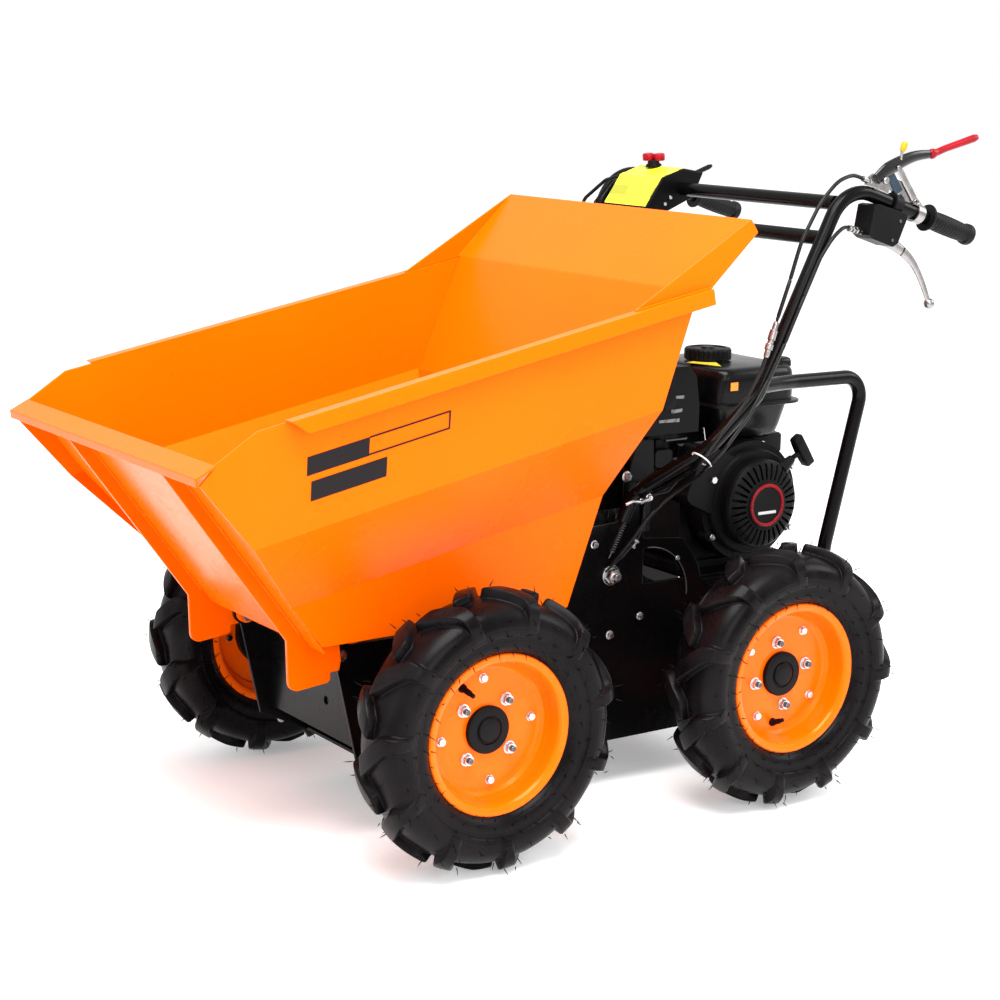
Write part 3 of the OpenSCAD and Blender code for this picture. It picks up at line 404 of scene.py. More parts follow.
def tube(route, radius, flat=1.0, around=20, across=(0.31, 0.9, 0.3)):
    """A circle or ellipse carried square to a route: centre + r*(cos*side + flat*sin*up)."""
    route, across = np.asarray(route, float), np.asarray(across, float)
    ahead = ahead_of(route)
    side = unit(across - ahead*(ahead @ across)[:, None])[:, None]
    up = np.cross(ahead, side[:, 0])[:, None]
    turn = np.linspace(0, 2*math.pi, around, endpoint=False)[None, :, None]
    r = np.broadcast_to(np.asarray(radius, float), (len(route),))[:, None, None]
    return rings(route[:, None] + r*(np.cos(turn)*side + flat*np.sin(turn)*up))


def wire(route, radius):
    """A thin round wire."""
    return tube(route, radius, around=8)


def turned(profile, base, axis, around, spin=0.0):
    """A profile of (radius, height) turned about an axis: base + h*axis + r*(cos*a + sin*b)."""
    profile, axis = np.asarray(profile, float), unit(axis)
    a = unit(np.cross(axis, (0.0, 0.0, 1.0) if abs(axis[2]) < 0.9 else (1.0, 0.0, 0.0)))
    b = np.cross(axis, a)
    turn = (math.radians(spin) + np.linspace(0, 2*math.pi, around, endpoint=False))[None, :, None]
    r, h = profile[:, 0, None, None], profile[:, 1, None, None]
    return rings(np.asarray(base, float) + h*axis + r*(np.cos(turn)*a + np.sin(turn)*b))


def spindle(profile, base, axis, around=24):
    """A turned solid that closes on its axis at both ends of the profile."""
    return turned([(0, profile[0][1]), *profile, (0, profile[-1][1])], base, axis, around)


def hoop(profile, base, axis, around):
    """A profile that closes on itself, turned about an axis, with no flat ends."""
    points, faces = turned(profile, base, axis, around)
    return points, faces[:-2]


def drawn(places, y):
    """Places (forward, up) of a side view, laid at y."""
    return np.insert(np.asarray(places, float), 1, y, axis=1)


def plate(outline, y, thick):
    """A side view given a thickness about the plane y."""
    return rings(np.stack((drawn(outline, y - thick/2), drawn(outline, y + thick/2))))


def corner_box(half, corner, steps=6):
    """Points of rectangles with round corners, (x, y), one ring for each half size and corner radius."""
    half, corner = np.asarray(half, float), np.asarray(corner, float)
    turn = np.radians(np.concatenate([np.linspace(k, k + 90, steps) for k in (0, 90, 180, 270)]))[None]
    sign_x = np.repeat([1, -1, -1, 1], steps)[None]
    sign_y = np.repeat([1, 1, -1, -1], steps)[None]
    c = np.broadcast_to(corner, (len(half),))[:, None]
    return np.stack((sign_x*(half[:, :1] - c) + c*np.cos(turn), sign_y*(half[:, 1:] - c) + c*np.sin(turn)), axis=-1)


def moulded_box(centre, length, width, levels, corner):
    """A moulding with round upright corners: levels are (height, inset) pairs from low to high."""
    levels = np.asarray(levels, float)
    half = np.stack((length/2 - levels[:, 1], width/2 - levels[:, 1]), axis=-1)
    ring = corner_box(half, np.maximum(corner - levels[:, 1]*0.5, 4.0)) + np.asarray(centre, float)
    height = np.broadcast_to(levels[:, 0, None, None], ring.shape[:2] + (1,))
    return rings(np.concatenate((ring, height), axis=-1))


LEFT = (0, 1, 0)        # outwards on the machine's left side


def bolts(*rows):
    """Hexagon heads with chamfered tops, on round washers, from (forward, left, up, width across flats) rows."""
    shapes = []
    for *place, across in rows:
        corner, high, washer = 1.155*across/2, across/2, 1.4
        shapes.append(spindle([(1.18*corner, 0), (1.3*corner, 0.4), (1.3*corner, 1.0), (1.18*corner, washer)],
                              place, LEFT, 28))
        shapes.append(turned([(corner, washer), (corner, washer + 0.8*high), (0.86*corner, washer + high),
                              (0, washer + high)], place, LEFT, 6, 10.0))
    return shapes


def new_object(name, data):
    """An object in the scene with this data."""
    thing = bpy.data.objects.new(name, data)
    bpy.context.scene.collection.objects.link(thing)
    return thing


def make(name, finish, shapes, stands_for=(), body="chassis", bevel=0.0, sharp=35.0):
    """One finished piece: its shapes joined, placed in metres, closed, shaded and given to its body."""
    points, faces = join(shapes)
    mesh = bpy.data.meshes.new(name)
    mesh.from_pydata((points*MM + (REAR_X, 0, 0)).tolist(), [], faces)
    work = bmesh.new()
    work.from_mesh(mesh)
    bmesh.ops.remove_doubles(work, verts=work.verts, dist=2e-6)
    bmesh.ops.dissolve_degenerate(work, edges=work.edges, dist=1e-7)
    bmesh.ops.recalc_face_normals(work, faces=work.faces)
    work.to_mesh(mesh)
    work.free()
    mesh.shade_smooth()
    mesh.set_sharp_from_angle(angle=math.radians(sharp))
    mesh.materials.append(FINISHES[finish])
    piece = new_object(name, mesh)
    if bevel:
        edge = piece.modifiers.new("edges", "BEVEL")
        edge.width, edge.segments, edge.limit_method = bevel*MM, 2, "ANGLE"
        edge.angle_limit = math.radians(30)
        edge.harden_normals = True
    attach(piece, body)
    if stands_for:
        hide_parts(*stands_for)


# ---- wheels

# how far the tread and the rim are turned, in degrees, and the lugs on each side
TURNS = {"front": (61.0, -5.0), "rear": (43.0, -145.0)}
LUGS = 11
# half of a tyre's section, from the tread's middle to the bead: (radius, outwards)
WALL = [(186, 0), (185.4, 13), (182.6, 27), (177, 38.5), (169, 46), (160, 49.2), (152, 49.6), (145, 48.4),
        (143.2, 47.4), (142.4, 45.6), (136, 44.6), (127, 43.2), (119.5, 38.5), (116, 34.2), (110, 29.6), (104, 27)]
# a lug, from the tread's middle to its foot:
# (top's radius, top outwards, base's radius, base outwards, place round the tyre, half width)
LUG = [(196.0, -8.5, 182, -8, 7.2, 12.5), (199.2, -6.5, 182, -6.5, 5.8, 14.6), (199.7, 1, 182, 1, -0.8, 16.8),
       (198.5, 16, 181, 15, -13.9, 17.4), (195, 30, 177, 28, -25.5, 16.2), (190.5, 39.5, 173, 36, -30.4, 12.6),
       (183.5, 47.2, 167, 42, -31, 10.4), (174.5, 51.4, 160, 45, -30.6, 9.6), (163, 52.0, 154, 45.5, -30.3, 9.5),
       (153, 50.6, 149, 45, -30.3, 9.1), (147, 47.6, 146, 44, -30.3, 8.4)]
# from a lug's edge to its middle: (share of its half width, share of its height)
EDGE = np.array([(1.10, 0), (1.0, 0.5), (0.965, 0.86), (0.86, 1.0), (0.4, 1.01)])
# rows of hairs round a wall: (how many, radius, outwards, their lean outwards, their lean away from the axle)
WALL_HAIRS = [(34, 119, 42.8, 0.35, -0.9), (30, 129, 44.2, 0.7, -0.7), (32, 141, 46.4, 0.8, 0.5),
              (24, 163, 47.6, 0.9, 0.3)]
# hairs at a lug's leg: (degrees round from its middle, radius, outwards)
LEG_HAIRS = [(-3.2, 188, 47.5), (3.0, 187, 47.0), (-3.4, 176, 50.5), (3.2, 160, 51.5)]
# the hub cap, from its sleeve's inner end to its middle: (radius, outwards)
HUB_CAP = [(30, -58), (32, -56), (32, -18), (62, -16), (62, -4.5), (29.9, -4.5), (29.9, -1.4), (33.6, -1.4),
           (34, 4.4), (33.2, 6.0), (31.6, 6.8), (20.6, 6.8), (19.8, 5.0), (17.9, 5.0), (17.4, 8.0), (16, 9.4),
           (11, 10.2), (0, 10.5)]


def outwards(wheel):
    """The direction from the machine's middle to a wheel's outer side."""
    return 0, math.copysign(1.0, WHEELS[wheel][1]), 0


def polar(radius, degrees, out):
    """(forward, up, outwards) from a radius and an angle about the axle."""
    radius, turn, out = np.broadcast_arrays(radius, np.radians(degrees), out)
    return np.stack((radius*np.cos(turn), radius*np.sin(turn), out), axis=-1)


def wheel_grid(wheel, points):
    """Points drawn about a wheel's middle as (forward, up, outwards), laid in place."""
    forward, up, out = np.moveaxis(np.asarray(points, float), -1, 0)
    return WHEELS[wheel] + np.stack((forward, outwards(wheel)[1]*out, up), axis=-1)


def lug_turns(tread, side):
    """The angles of one side's lugs. The right side's stand half a pitch behind the left's."""
    return tread - (np.arange(LUGS) + (0.0 if side > 0 else 0.5))*360/LUGS


def tyre_shapes(wheel, tread):
    """The carcass, its section turned about the axle, and the lugs: base + h*(top - base), leaning round it."""
    half = eased(WALL, 64)
    section = np.vstack((half[::-1]*(1, -1), half[1:], half[-1:]*(1, -1)))
    shapes = [hoop(section, WHEELS[wheel], outwards(wheel), 144)]
    top_r, top_out, base_r, base_out, place, half_width = eased(LUG, 44).T[:, :, None]
    share, height = np.vstack((EDGE*(-1, 1), EDGE[::-1])).T
    radius = base_r + (top_r - base_r)*height
    out = base_out + (top_out - base_out)*height
    round_tyre = np.degrees((place + half_width*share)/radius)
    _, faces = rings(np.zeros((*radius.shape, 3)))
    for side in (1, -1):
        turn = lug_turns(tread, side)[:, None, None] - round_tyre
        points = wheel_grid(wheel, polar(radius, turn, side*out)).reshape(-1, 3)
        shapes.append((points, copied(faces, radius.size, LUGS)))
    return shapes


def valve_shapes(wheel, spin):
    """The valve: a rubber foot on the rim's disc, and a stem that leans towards the hub."""
    foot, low, high = wheel_grid(wheel, polar((75.9, 75.9, 66.9), (spin + 63,)*3, (-1.4, 2.6, 21.6)))
    return [spindle([(6.5, 0), (6, 3.5), (4.4, 6)], foot, outwards(wheel)),
            spindle([(4.2, 0), (4.2, 13), (3.3, 14), (3.3, 20), (2.6, 20.8)], low, high - low)]


def hairs(base, lean, length, thick, seed):
    """Moulding hairs: three-sided tapers that stand on base, lean along lean, and curl a little."""
    rng = np.random.default_rng(seed)
    count = len(base)
    lean = unit(lean + rng.normal(0, 0.22, (count, 3)))
    side = unit(np.cross(lean, rng.normal(0, 1, (count, 3))))
    other = np.cross(lean, side)
    along = np.array((0.0, 0.4, 0.75, 1.0))[None, :, None, None]
    width = np.array((1.0, 0.8, 0.55, 0.12))[None, :, None, None]*thick
    turn = np.radians((0, 120, 240))[None, None, :, None]
    length = (length*rng.uniform(0.45, 1.15, count))[:, None, None, None]
    lean, side, other, base = (v[:, None, None] for v in (lean, side, other, base))
    curl = 0.22*length*along**2*side
    grid = base + along*length*lean + curl + width*(np.cos(turn)*side + np.sin(turn)*other)
    grid = grid[grid[..., 2].min(axis=(1, 2)) > 0.5]      # those that would reach into the ground are worn off
    _, faces = rings(grid[0])
    return grid.reshape(-1, 3), copied(faces, grid[0, ..., 0].size, len(grid))


def hair_roots(wheel, tread, rng):
    """Where a tyre's hairs stand and how they lean: rows round its walls, and some on each lug and on the tread."""
    base, lean = [], []

    def grow(radius, degrees, out, lean_out, lean_away, around=0.5):
        count = len(degrees)
        turn = degrees + rng.normal(0, 0.8, count)
        base.append(polar(radius + rng.uniform(-1.5, 1.5, count), turn, out))
        lean.append(polar(np.full(count, lean_away), turn, np.full(count, lean_out))
                    + around*rng.normal(0, 1, count)[:, None]*polar(1.0, turn + 90, 0.0))

    for side in (1, -1):
        for count, radius, out, lean_out, lean_away in WALL_HAIRS:
            grow(radius, np.arange(count)*360/count, side*out, side*lean_out, lean_away)
        legs = lug_turns(tread + 9.4, side)
        for offset, radius, out in LEG_HAIRS:
            grow(radius, legs + offset, side*out, side*0.7, 0.9, 0.3)
        grow(198, legs + 6, side*14.0, side*0.1, 1.0, 0.4)
    grow(186, np.arange(48)*360/48, rng.uniform(-30, 30, 48), 0.0, 1.0, 0.3)
    return wheel_grid(wheel, np.vstack(base)), wheel_grid(wheel, np.vstack(lean)) - WHEELS[wheel]


class OBJECT_OT_dumper_tyres(bpy.types.Operator):
    """Mould the tyres with their valves and the hairs that new ones keep, and add the hub caps and the studs' ends"""
    bl_idname = "object.dumper_tyres"
    bl_label = "Wheels"

    def execute(self, context):
        length = context.scene.dumper_looks.hair_length/MM
        for number, (wheel, centre) in enumerate(WHEELS.items()):
            tread, spin = TURNS["front" if "front" in wheel else "rear"]
            out = outwards(wheel)
            make("tyre_moulding_" + wheel, "tyre", tyre_shapes(wheel, tread) + valve_shapes(wheel, spin),
                 (wheel.replace("wheel", "tyre"),), wheel, sharp=38)
            roots = hair_roots(wheel, tread, np.random.default_rng(70 + number))
            make("hairs_" + wheel, "hair", [hairs(*roots, length, 1.05, 7 + number)], body=wheel)
            make("hub_cap_" + wheel, "plastic", [turned([(0, HUB_CAP[0][1]), *HUB_CAP], centre, out, 64)],
                 (wheel.replace("wheel", "hub"),), wheel, sharp=40)
            places = wheel_grid(wheel, polar(50.0, spin - 45.0 - np.arange(4)*90, 7.6))
            make("studs_" + wheel, "steel", [spindle([(4.4, 0), (4.4, 3.6), (3.4, 4.9)], place, out, 20)
                                             for place in places], body=wheel)
        return {"FINISHED"}


# ---- handlebars, guards and cables

BAR_Y = 280.0           # the middle of each handlebar, from the machine's middle
BAR_R = 10.9
BAR_RISE = 38/120       # how the grips' ends slope
OUT = 294.3             # beside the left bar, on its outer face
IN = -265.7             # beside the right bar, on its inner face


class OBJECT_OT_dumper_tubes(bpy.types.Operator):
    """Bend the handlebars and the engine guard from round tube"""
    bl_idname = "object.dumper_tubes"
    bl_label = "Bent tubes"

    def execute(self, context):
        handle = [(-385, BAR_Y, 911 - 213*BAR_RISE), (-120, BAR_Y, 911 + 52*BAR_RISE), (37, BAR_Y, 622),
                  (112, 265, 548), (158, 175.4, 480), (172, 158.4, 455), (188, 158.4, 424)]
        guard = [(26, 274, 633), (-20, 257.7, 632), (-60, 248, 631), (-212, 245, 630), (-150, 240, 370),
                 (-140, 237, 290), (-140, 148, 290)]
        for side, name in ((1, "left"), (-1, "right")):
            for what, corners, bend in (("handle", handle, (64, 40, 34, 24, 24)), ("guard", guard, 34)):
                route = rounded(np.array(corners)*(1, side, 1), bend, 8.0)
                make(what + "_tube_" + name, "frame", [tube(route, BAR_R, around=32)], (what + "_" + name,), sharp=50)
        return {"FINISHED"}


# corners of the control cables, from the hand controls down
CLUTCH_CABLE = [(-153, BAR_Y, 935.4), (-132, 283, 941), (-96, 290, 934), (-58, OUT, 902), (-24, OUT, 846),
                (-5, OUT, 790), (16, OUT, 735), (42, OUT, 662), (74, OUT - 2, 610), (118, OUT - 8, 562),
                (128, 272, 534), (124, 246, 512), (112, 210, 497), (124, 182, 476), (140, 150.3, 454),
                (141, 150.3, 404)]
BRAKE_CABLE = [(-130.6, BAR_Y, 862.3), (-112, 289, 865), (-84, OUT + 2, 851), (-62, OUT, 820), (-34, OUT, 766),
               (0, OUT, 697), (30, OUT, 645), (66, OUT + 3, 596), (112, OUT - 1, 544), (118, 266, 518),
               (106, 236, 500), (108, 200, 476), (126, 178, 452), (156, 174, 426), (172, 168, 400), (204, 154.3, 356)]
THROTTLE_CABLE = [(-98, -205.3, 922), (-86, -246, 908), (-64, IN, 868), (-45, IN, 800), (-2, IN, 712),
                  (10, -238, 660), (-8, -170, 560), (-28, -110, 486), (-30, -70.3, 470)]
STOP_CABLE = [(-84, -205.3, 918), (-68, -244, 906), (-46, -272, 874), (-36, -277, 836), (-26, -277, 790),
              (14, -277, 712), (32, -258, 644), (22, -190, 560), (0, -110, 480), (-6, -70.3, 462)]
# the selector's thin wires, between the lower bar and the gear plate: (corners, radius)
SELECTOR_WIRES = [
    ([(118, 200, 486), (127, 190, 470), (150, 172, 463), (176, 171, 470)], 2.2),
    ([(104, 180, 484), (122, 176, 471), (142, 168, 459), (166, 166, 452)], 2.2),
    ([(126, 182, 455), (142, 178, 438), (152, 174, 430), (166, 170, 398), (189, 165, 373), (204, 159, 359),
      (213, 154, 349)], 1.6)]


def cable(corners, radius=3.0, bend=90.0):
    return tube(eased(rounded(corners, bend, 9.0), 140), radius, around=12)


def ferrule(a, b, radius, grips):
    """A threaded adjuster: a slim barrel with hexagon nuts along it."""
    a, b = np.array(a, float), np.array(b, float)
    length = np.linalg.norm(b - a)
    lows = length*(0.12 + 0.76*np.arange(grips)/(grips - 1)) - 1.8
    return [spindle([(radius, 0), (radius, length)], a, b - a, 20)] + [
        spindle([(1.75*radius, low), (1.75*radius, low + 3.6)], a, b - a, 6) for low in lows]


class OBJECT_OT_dumper_cables(bpy.types.Operator):
    """Run the sheathed cables, with their adjusters, ferrules and ties"""
    bl_idname = "object.dumper_cables"
    bl_label = "Cables"

    def execute(self, context):
        make("cables_left_run", "cable", [cable(CLUTCH_CABLE), cable(BRAKE_CABLE)], ("cables_left",), sharp=60)
        make("cables_right_run", "cable", [cable(THROTTLE_CABLE, bend=20), cable(STOP_CABLE, bend=20)],
             ("cables_right",), sharp=60)
        make("selector_wires", "cable", [cable(*wires, 8) for wires in SELECTOR_WIRES], sharp=60)
        make("cable_adjusters", "alloy", ferrule((-154, BAR_Y, 935.2), (-172, BAR_Y, 930), 2.8, 3)
             + ferrule((-128, 281, 862.4), (-156, BAR_Y, 856.4), 3.2, 4)
             + ferrule((173, 166.5, 385), (166, 168.5, 396), 2.6, 2))
        make("cable_barrel", "alloy", [spindle([
            (3.7, 0), (4.2, 3), (4.2, 12), (6.0, 13), (6.0, 27), (4.6, 28), (4.6, 33), (6.2, 34), (6.2, 42), (4.4, 43),
            (4.4, 51), (3.4, 54)], (17.6, OUT, 730.5), (16.5, 0, -46.5))])
        turn = np.linspace(0, 2*math.pi, 40)[:, None]
        strap = (123, 262, 530) + 17*np.cos(turn)*unit((23.6, 0, 20)) + 15*np.sin(turn)*np.array(LEFT)
        make("cable_tie", "pale", [wire(strap, 1.3)], sharp=60)
        return {"FINISHED"}


# ---- hand controls

def bar(points, count, stops, radii, flat, around=20, across=(0.31, 0.9, 0.3)):
    """A bent bar through a few points. Its radius swells from stop to stop, 0 at its start and 1 at its end."""
    return tube(eased(points, count), np.interp(np.linspace(0, 1, count), stops, radii), flat, around, across)


def helix(start, end, side, up, radius, turns, count):
    """A coil: start + share*(end - start) + r*(cos*side + sin*up)."""
    start, end, side, up = (np.asarray(v, float) for v in (start, end, side, up))
    share = np.linspace(0, 1, count)[:, None]
    turn = 2*math.pi*turns*share
    return start + share*(end - start) + radius*(np.cos(turn)*side + np.sin(turn)*up)


class OBJECT_OT_dumper_levers(bpy.types.Operator):
    """Build the grips, and the clutch and brake levers with their links, pins and button"""
    bl_idname = "object.dumper_levers"
    bl_label = "Hand levers and grips"

    def execute(self, context):
        number = np.arange(12)
        ribs = np.stack((np.tile((15.3, 15.3, 14.6, 14.6), 12) - np.repeat(0.03*(number - 5)**2, 4),
                         (number[:, None]*6.0 + (14, 17.6, 18.1, 19.5)).ravel()), axis=-1)
        grip = spindle([(12, 0), (20.5, 0.6), (21.3, 2), (20.5, 4), (15.2, 6), (13.4, 9), (14.2, 12), *ribs, (14.0, 88),
                        (16.4, 90.5), (16.8, 97), (16.0, 99.5), (12, 100.5)],
                       (-289, BAR_Y, 873.95), (-1, 0, -BAR_RISE), 48)
        make("grip_moulding_left", "grip", [grip], ("grip_left",), sharp=40)
        make("grip_moulding_right", "grip", mirrored([grip]), ("grip_right",), sharp=40)

        y = 286.5           # the clutch lever's middle
        make("clutch_arm", "satin", [bar(drawn([(-176, 934), (-198, 948), (-230, 961), (-258, 968), (-290, 970.5)], y),
                                         30, (0, 0.25, 1), (9.0, 11.5, 6.2), 0.5, 20, (0.1, 0.0, 1.0))],
             ("clutch_lever",), sharp=50)
        make("clutch_sleeve", "red", [bar(
            drawn([(-284, 969.5), (-300, 973), (-318, 978.5), (-352, 987), (-384, 995)], y), 40,
            (0, 0.03, 0.10, 0.22, 0.5, 0.95, 1.0), (5.0, 7.5, 8.0, 5.6, 5.4, 6.0, 4.4), 0.86, 24, (0.2, 0, 1.0))],
             sharp=50)
        pins = [spindle([(5.0, 0), (5.8, 1), (5.8, 4), (4.3, 5.5)], (-190, 290, 932), LEFT, 28),
                spindle([(3.4, 0), (3.4, 4), (2.4, 5)], (-214, 290, 951), LEFT, 20),
                spindle([(2.0, 0), (2.0, 20)], (-221, 290, 962), (-0.10, 0, 1), 16)]
        link = eased(drawn([(-222, 950), (-234, 934), (-250, 914), (-258, 903)], 285), 24)
        spring = helix((-262, 280, 898), (-262, 280 + 0.35*8*math.pi, 898), (1, 0, 0), (0, 0, 1), 4.5, 4, 160)
        make("clutch_metal", "alloy", pins + [tube(link, 6.0, 0.3, 14, (1, 0, 0.6)), wire(spring, 0.9)])
        make("clutch_button", "yellow", [spindle([(3.2, 0), (4.4, 1.5), (5.0, 8), (4.8, 12), (3.2, 15), (0, 16)],
                                                 (-222.5, 290, 975), (-0.42, 0, 1), 28)])
        make("clutch_catch", "blue", [plate([(-200, 938), (-214, 943), (-234, 917), (-220, 909)], 280.5, 9)], bevel=1.2)

        blade = bar(drawn([(-206, 842), (-216, 838.5), (-232, 830), (-249, 820), (-266, 806), (-279, 790), (-291, 771),
                           (-300, 754), (-306, 742)], BAR_Y), 60,
                    (0, 0.10, 0.3, 0.6, 0.9, 1.0), (9.5, 10.0, 8.0, 5.8, 4.6, 4.4), 0.5, 24, (1.0, 0.0, 0.6))
        ball = turned([(8.5*math.sin(a), -8.5*math.cos(a)) for a in np.linspace(0, math.pi, 14)],
                      (-307.0, BAR_Y, 740.5), LEFT, 28)
        pivot = spindle([(4.6, 0), (4.6, 12), (3.6, 13)], (-214, 273.5, 843), LEFT)
        make("brake_blade", "alloy", [blade, ball, pivot], ("brake_lever",), sharp=50)
        make("housing_screws", "steel", [spindle([(2.6, 0), (2.6, 0.8), (1.9, 1.4)], (x, 298, z), LEFT)
                                         for x, z in ((-219, 871), (-204, 843))])
        return {"FINISHED"}


def sheet_strip(route, low, high, y0, y1):
    """A sheet over a side view's route: its faces lie low and high beyond the route, from y0 to y1."""
    ahead = ahead_of(route)
    out = np.stack((-ahead[:, 2], np.zeros(len(route)), ahead[:, 0]), axis=-1)
    return rings(np.stack([route + lift*out + (0, y, 0) for lift, y in ((low, y0), (high, y0), (high, y1), (low, y1))],
                          axis=1))


class OBJECT_OT_dumper_console(bpy.types.Operator):
    """Fold the console's sheet, and lay its yellow film, stop knob and throttle lever on it"""
    bl_idname = "object.dumper_console"
    bl_label = "Console"

    def execute(self, context):
        fold = rounded(drawn([(-152, 925.5), (-112, 932), (-69, 918), (-37, 872), (-31, 858)], 0), 7.0, 10)
        film = rounded(drawn([(-113, 931.9), (-69, 918), (-37, 872)], 0), 7.0, 10)
        cheek = [(-152, 924), (-112, 930), (-71, 916.5), (-40, 872), (-33, 857), (-60, 857), (-86, 866), (-134, 886)]
        make("console_sheet", "frame", [sheet_strip(fold, -2.5, 0.0, -206, -92)] + [
            plate(cheek, y, 3.0) for y in (-204.5, -93.5)], ("console",), bevel=0.6)
        make("console_film", "yellow_plate", [sheet_strip(film, 0.15, 0.6, -204, -95)], sharp=40)
        make("console_screws", "zinc", [turned([(0, 0), (2.8, 0), (2.8, 1.2), (0, 1.6)], (x, -92.1, z), LEFT, 20)
                                        for x, z in ((-86, 886), (-75, 875.5), (-112, 900))])
        knob_x, knob_y, tilt = -107, -165, (0.1, 0, 1)
        make("knob_collar", "plastic", [spindle([(13, 0), (13, 3.5), (10, 5), (9, 11)], (knob_x, knob_y, 931.5),
                                                tilt, 36)])
        make("stop_knob_lobes", "red", [
            spindle([(8.6, 0), (9.4, 1.2), (9.4, 9.5), (8.2, 11.5), (4, 12.2)],
                    (knob_x - 6.5*side, knob_y + 6*side, 941.5), tilt, 32) for side in (-1, 1)], ("stop_knob",))
        make("throttle_lever", "plastic", [bar(
            [(-126, -112, 913), (-140, -111, 919), (-158, -110, 925.5), (-184, -110, 934.5)], 30,
            (0, 0.4, 0.5, 0.93, 1.0), (3.0, 3.2, 4.6, 5.0, 3.2), 0.8)], ("throttle",), sharp=50)
        return {"FINISHED"}


# ---- engine

CRANK_X, CRANK_Z = -78.0, 427.0
DRUM_Y = 152.3          # the starter drum's face
EARS_R = 93             # from the crank to the bolts round the drum
PULL_NECK = np.array((-141.1, 166.3, 493.7))


def starter_pull():
    """The pull: a flat-ended bar of rounded section, its middle bowed forward, and the stem from the drum to it."""
    top, low = np.array((-146.5, 166.3, 527.5)), np.array((-177.5, 166.3, 480.0))
    down = unit(low - top)
    ahead = np.array((down[2], 0.0, -down[0]))
    place = np.array((0.0, 1.0, 3.0, 14.0, 27.5, 41.0, 52.0, 54.0, 55.0))[:, None, None]
    sizes = [(5.8, 6.2), (7.6, 7.6), (8.6, 8.4), (8.9, 8.8), (9.2, 9.0)]
    section = corner_box(sizes + sizes[-2::-1], 2.8, 5)
    bow = (-1.0 + 2.6*np.sin(np.linspace(0, math.pi, 9)))[:, None, None]
    handle = rings(top + down*place + ahead*(section[..., :1] - bow) + LEFT*section[..., 1:])
    stem = PULL_NECK + ((top + low)/2 - PULL_NECK)*np.linspace(0, 1, 7)[:, None]
    return [handle, tube(stem, (5.4, 5.2, 5.2, 5.4, 6.0, 7.0, 7.6), 0.8, 20)]


class OBJECT_OT_dumper_engine(bpy.types.Operator):
    """Mould the tank and the starter's pull, and add the engine's badge, bolts, levers and blank labels"""
    bl_idname = "object.dumper_engine"
    bl_label = "Engine"

    def execute(self, context):
        lower = [(522.3, 30), (523, 26), (528, 21), (540, 17), (560, 12), (574, 8.5), (577, 8)]
        flange = [(577, -7), (577.6, -8.5), (581, -8.5), (581.6, -7), (581.6, 2)]
        upper = [(581.6, 1), (600, 0.6), (618, 0.8), (627, 2.2), (632.5, 5), (635.5, 9), (637, 15), (638, 26),
                 (638.8, 44), (639, 60)]
        tank = moulded_box((-93, 39), 166, 202, lower + flange + upper, 30)
        lump = moulded_box((-158, 106), 34, 32, [(632, 0), (640, 0.4), (644, 2.0), (646, 5.5)], 9)
        neck = spindle([(36, 636), (35, 640.5)], (-66, 40, 0), (0, 0, 1), 48)
        make("tank_shell", "gloss", [tank, lump, neck], ("fuel_tank",), sharp=45)

        crank = CRANK_X, DRUM_Y, CRANK_Z
        make("badge_face", "plastic", [spindle([(29.0, 30.1), (29.0, 30.7)], crank, LEFT, 64)])
        make("badge_hoop", "red", [hoop([(28.6, 29.6), (33.6, 29.6), (34.0, 31.0), (33.0, 32.0), (29.6, 32.0),
                                         (28.6, 31.0), (28.6, 29.6)], crank, LEFT, 72)])
        make("badge_bar", "pale", [plate([(-96, 413), (-60, 413), (-60, 417.5), (-96, 417.5)], DRUM_Y + 31.0, 0.6)])
        make("engine_bolts", "zinc", bolts(*(
            (CRANK_X + EARS_R*math.cos(a), DRUM_Y - 5.5, CRANK_Z + EARS_R*math.sin(a), size)
            for a, size in zip(np.radians((27, 148, 212, 328)), (11.0, 8.0, 8.0, 6.0)))))

        make("carburettor_rod", "steel", [tube([(48, 133, 536), (89, 133, 536)], 2.2)])
        make("starter_pull_moulding", "plastic", starter_pull(), ("starter_pull",), sharp=40)
        lever = tube([(15, 133, 550), (12, 133, 534), (8, 133, 518)], 2.6, 0.5)
        bowl = spindle([(6.5, 0), (6.5, 12), (4.2, 13), (4.2, 19)], (72, 131, 501), (-1, 0.02, 0))
        make("carburettor_metal", "zinc", [lever, bowl] + bolts((91, 132, 487, 8.0), (76, 132, 485, 7.0),
                                                                (-132, 104, 506, 8.0)))
        duct = moulded_box((14, 46), 150, 34, [(512, 3), (515, 0), (545, 0), (549, 3)], 9)
        bracket = moulded_box((-143, 62), 66, 84, [(490, 3), (493, 0), (519, 0), (522, 3)], 8)
        make("engine_ducts", "plastic", [duct, bracket])
        make("air_box_labels", "label", [plate(outline, 149.0, 0.7) for outline in (
            [(68, 601), (95, 603), (95, 606.5), (68, 606)], [(71, 581), (92, 580), (92, 585.5), (71, 586)],
            [(76, 566), (115, 567), (115, 571), (76, 571.5)])])
        make("tank_sticker", "amber", [plate([(-46, 604), (-31, 604), (-31, 617), (-46, 617)], 140.2, 0.6)])
        tag = np.array([(-14, 52, 638.7), (-42, 45, 638.9), (-66, 54, 638.9), (-34, 112, 638.7)])
        make("tank_tag", "tag", [rings(np.stack((tag, tag + (0, 0, 0.7))))])
        return {"FINISHED"}


# ---- chassis

PLATE_Y = 147.2                             # a side plate's outer face
SKIRT_BOLTS = [(x, PLATE_Y, 104, 10.0) for x in (30, 300, 480, 600)]
WINDOW_X, WINDOW_Z, WINDOW_R = 126, 299, 76.6       # the round window in the left plate


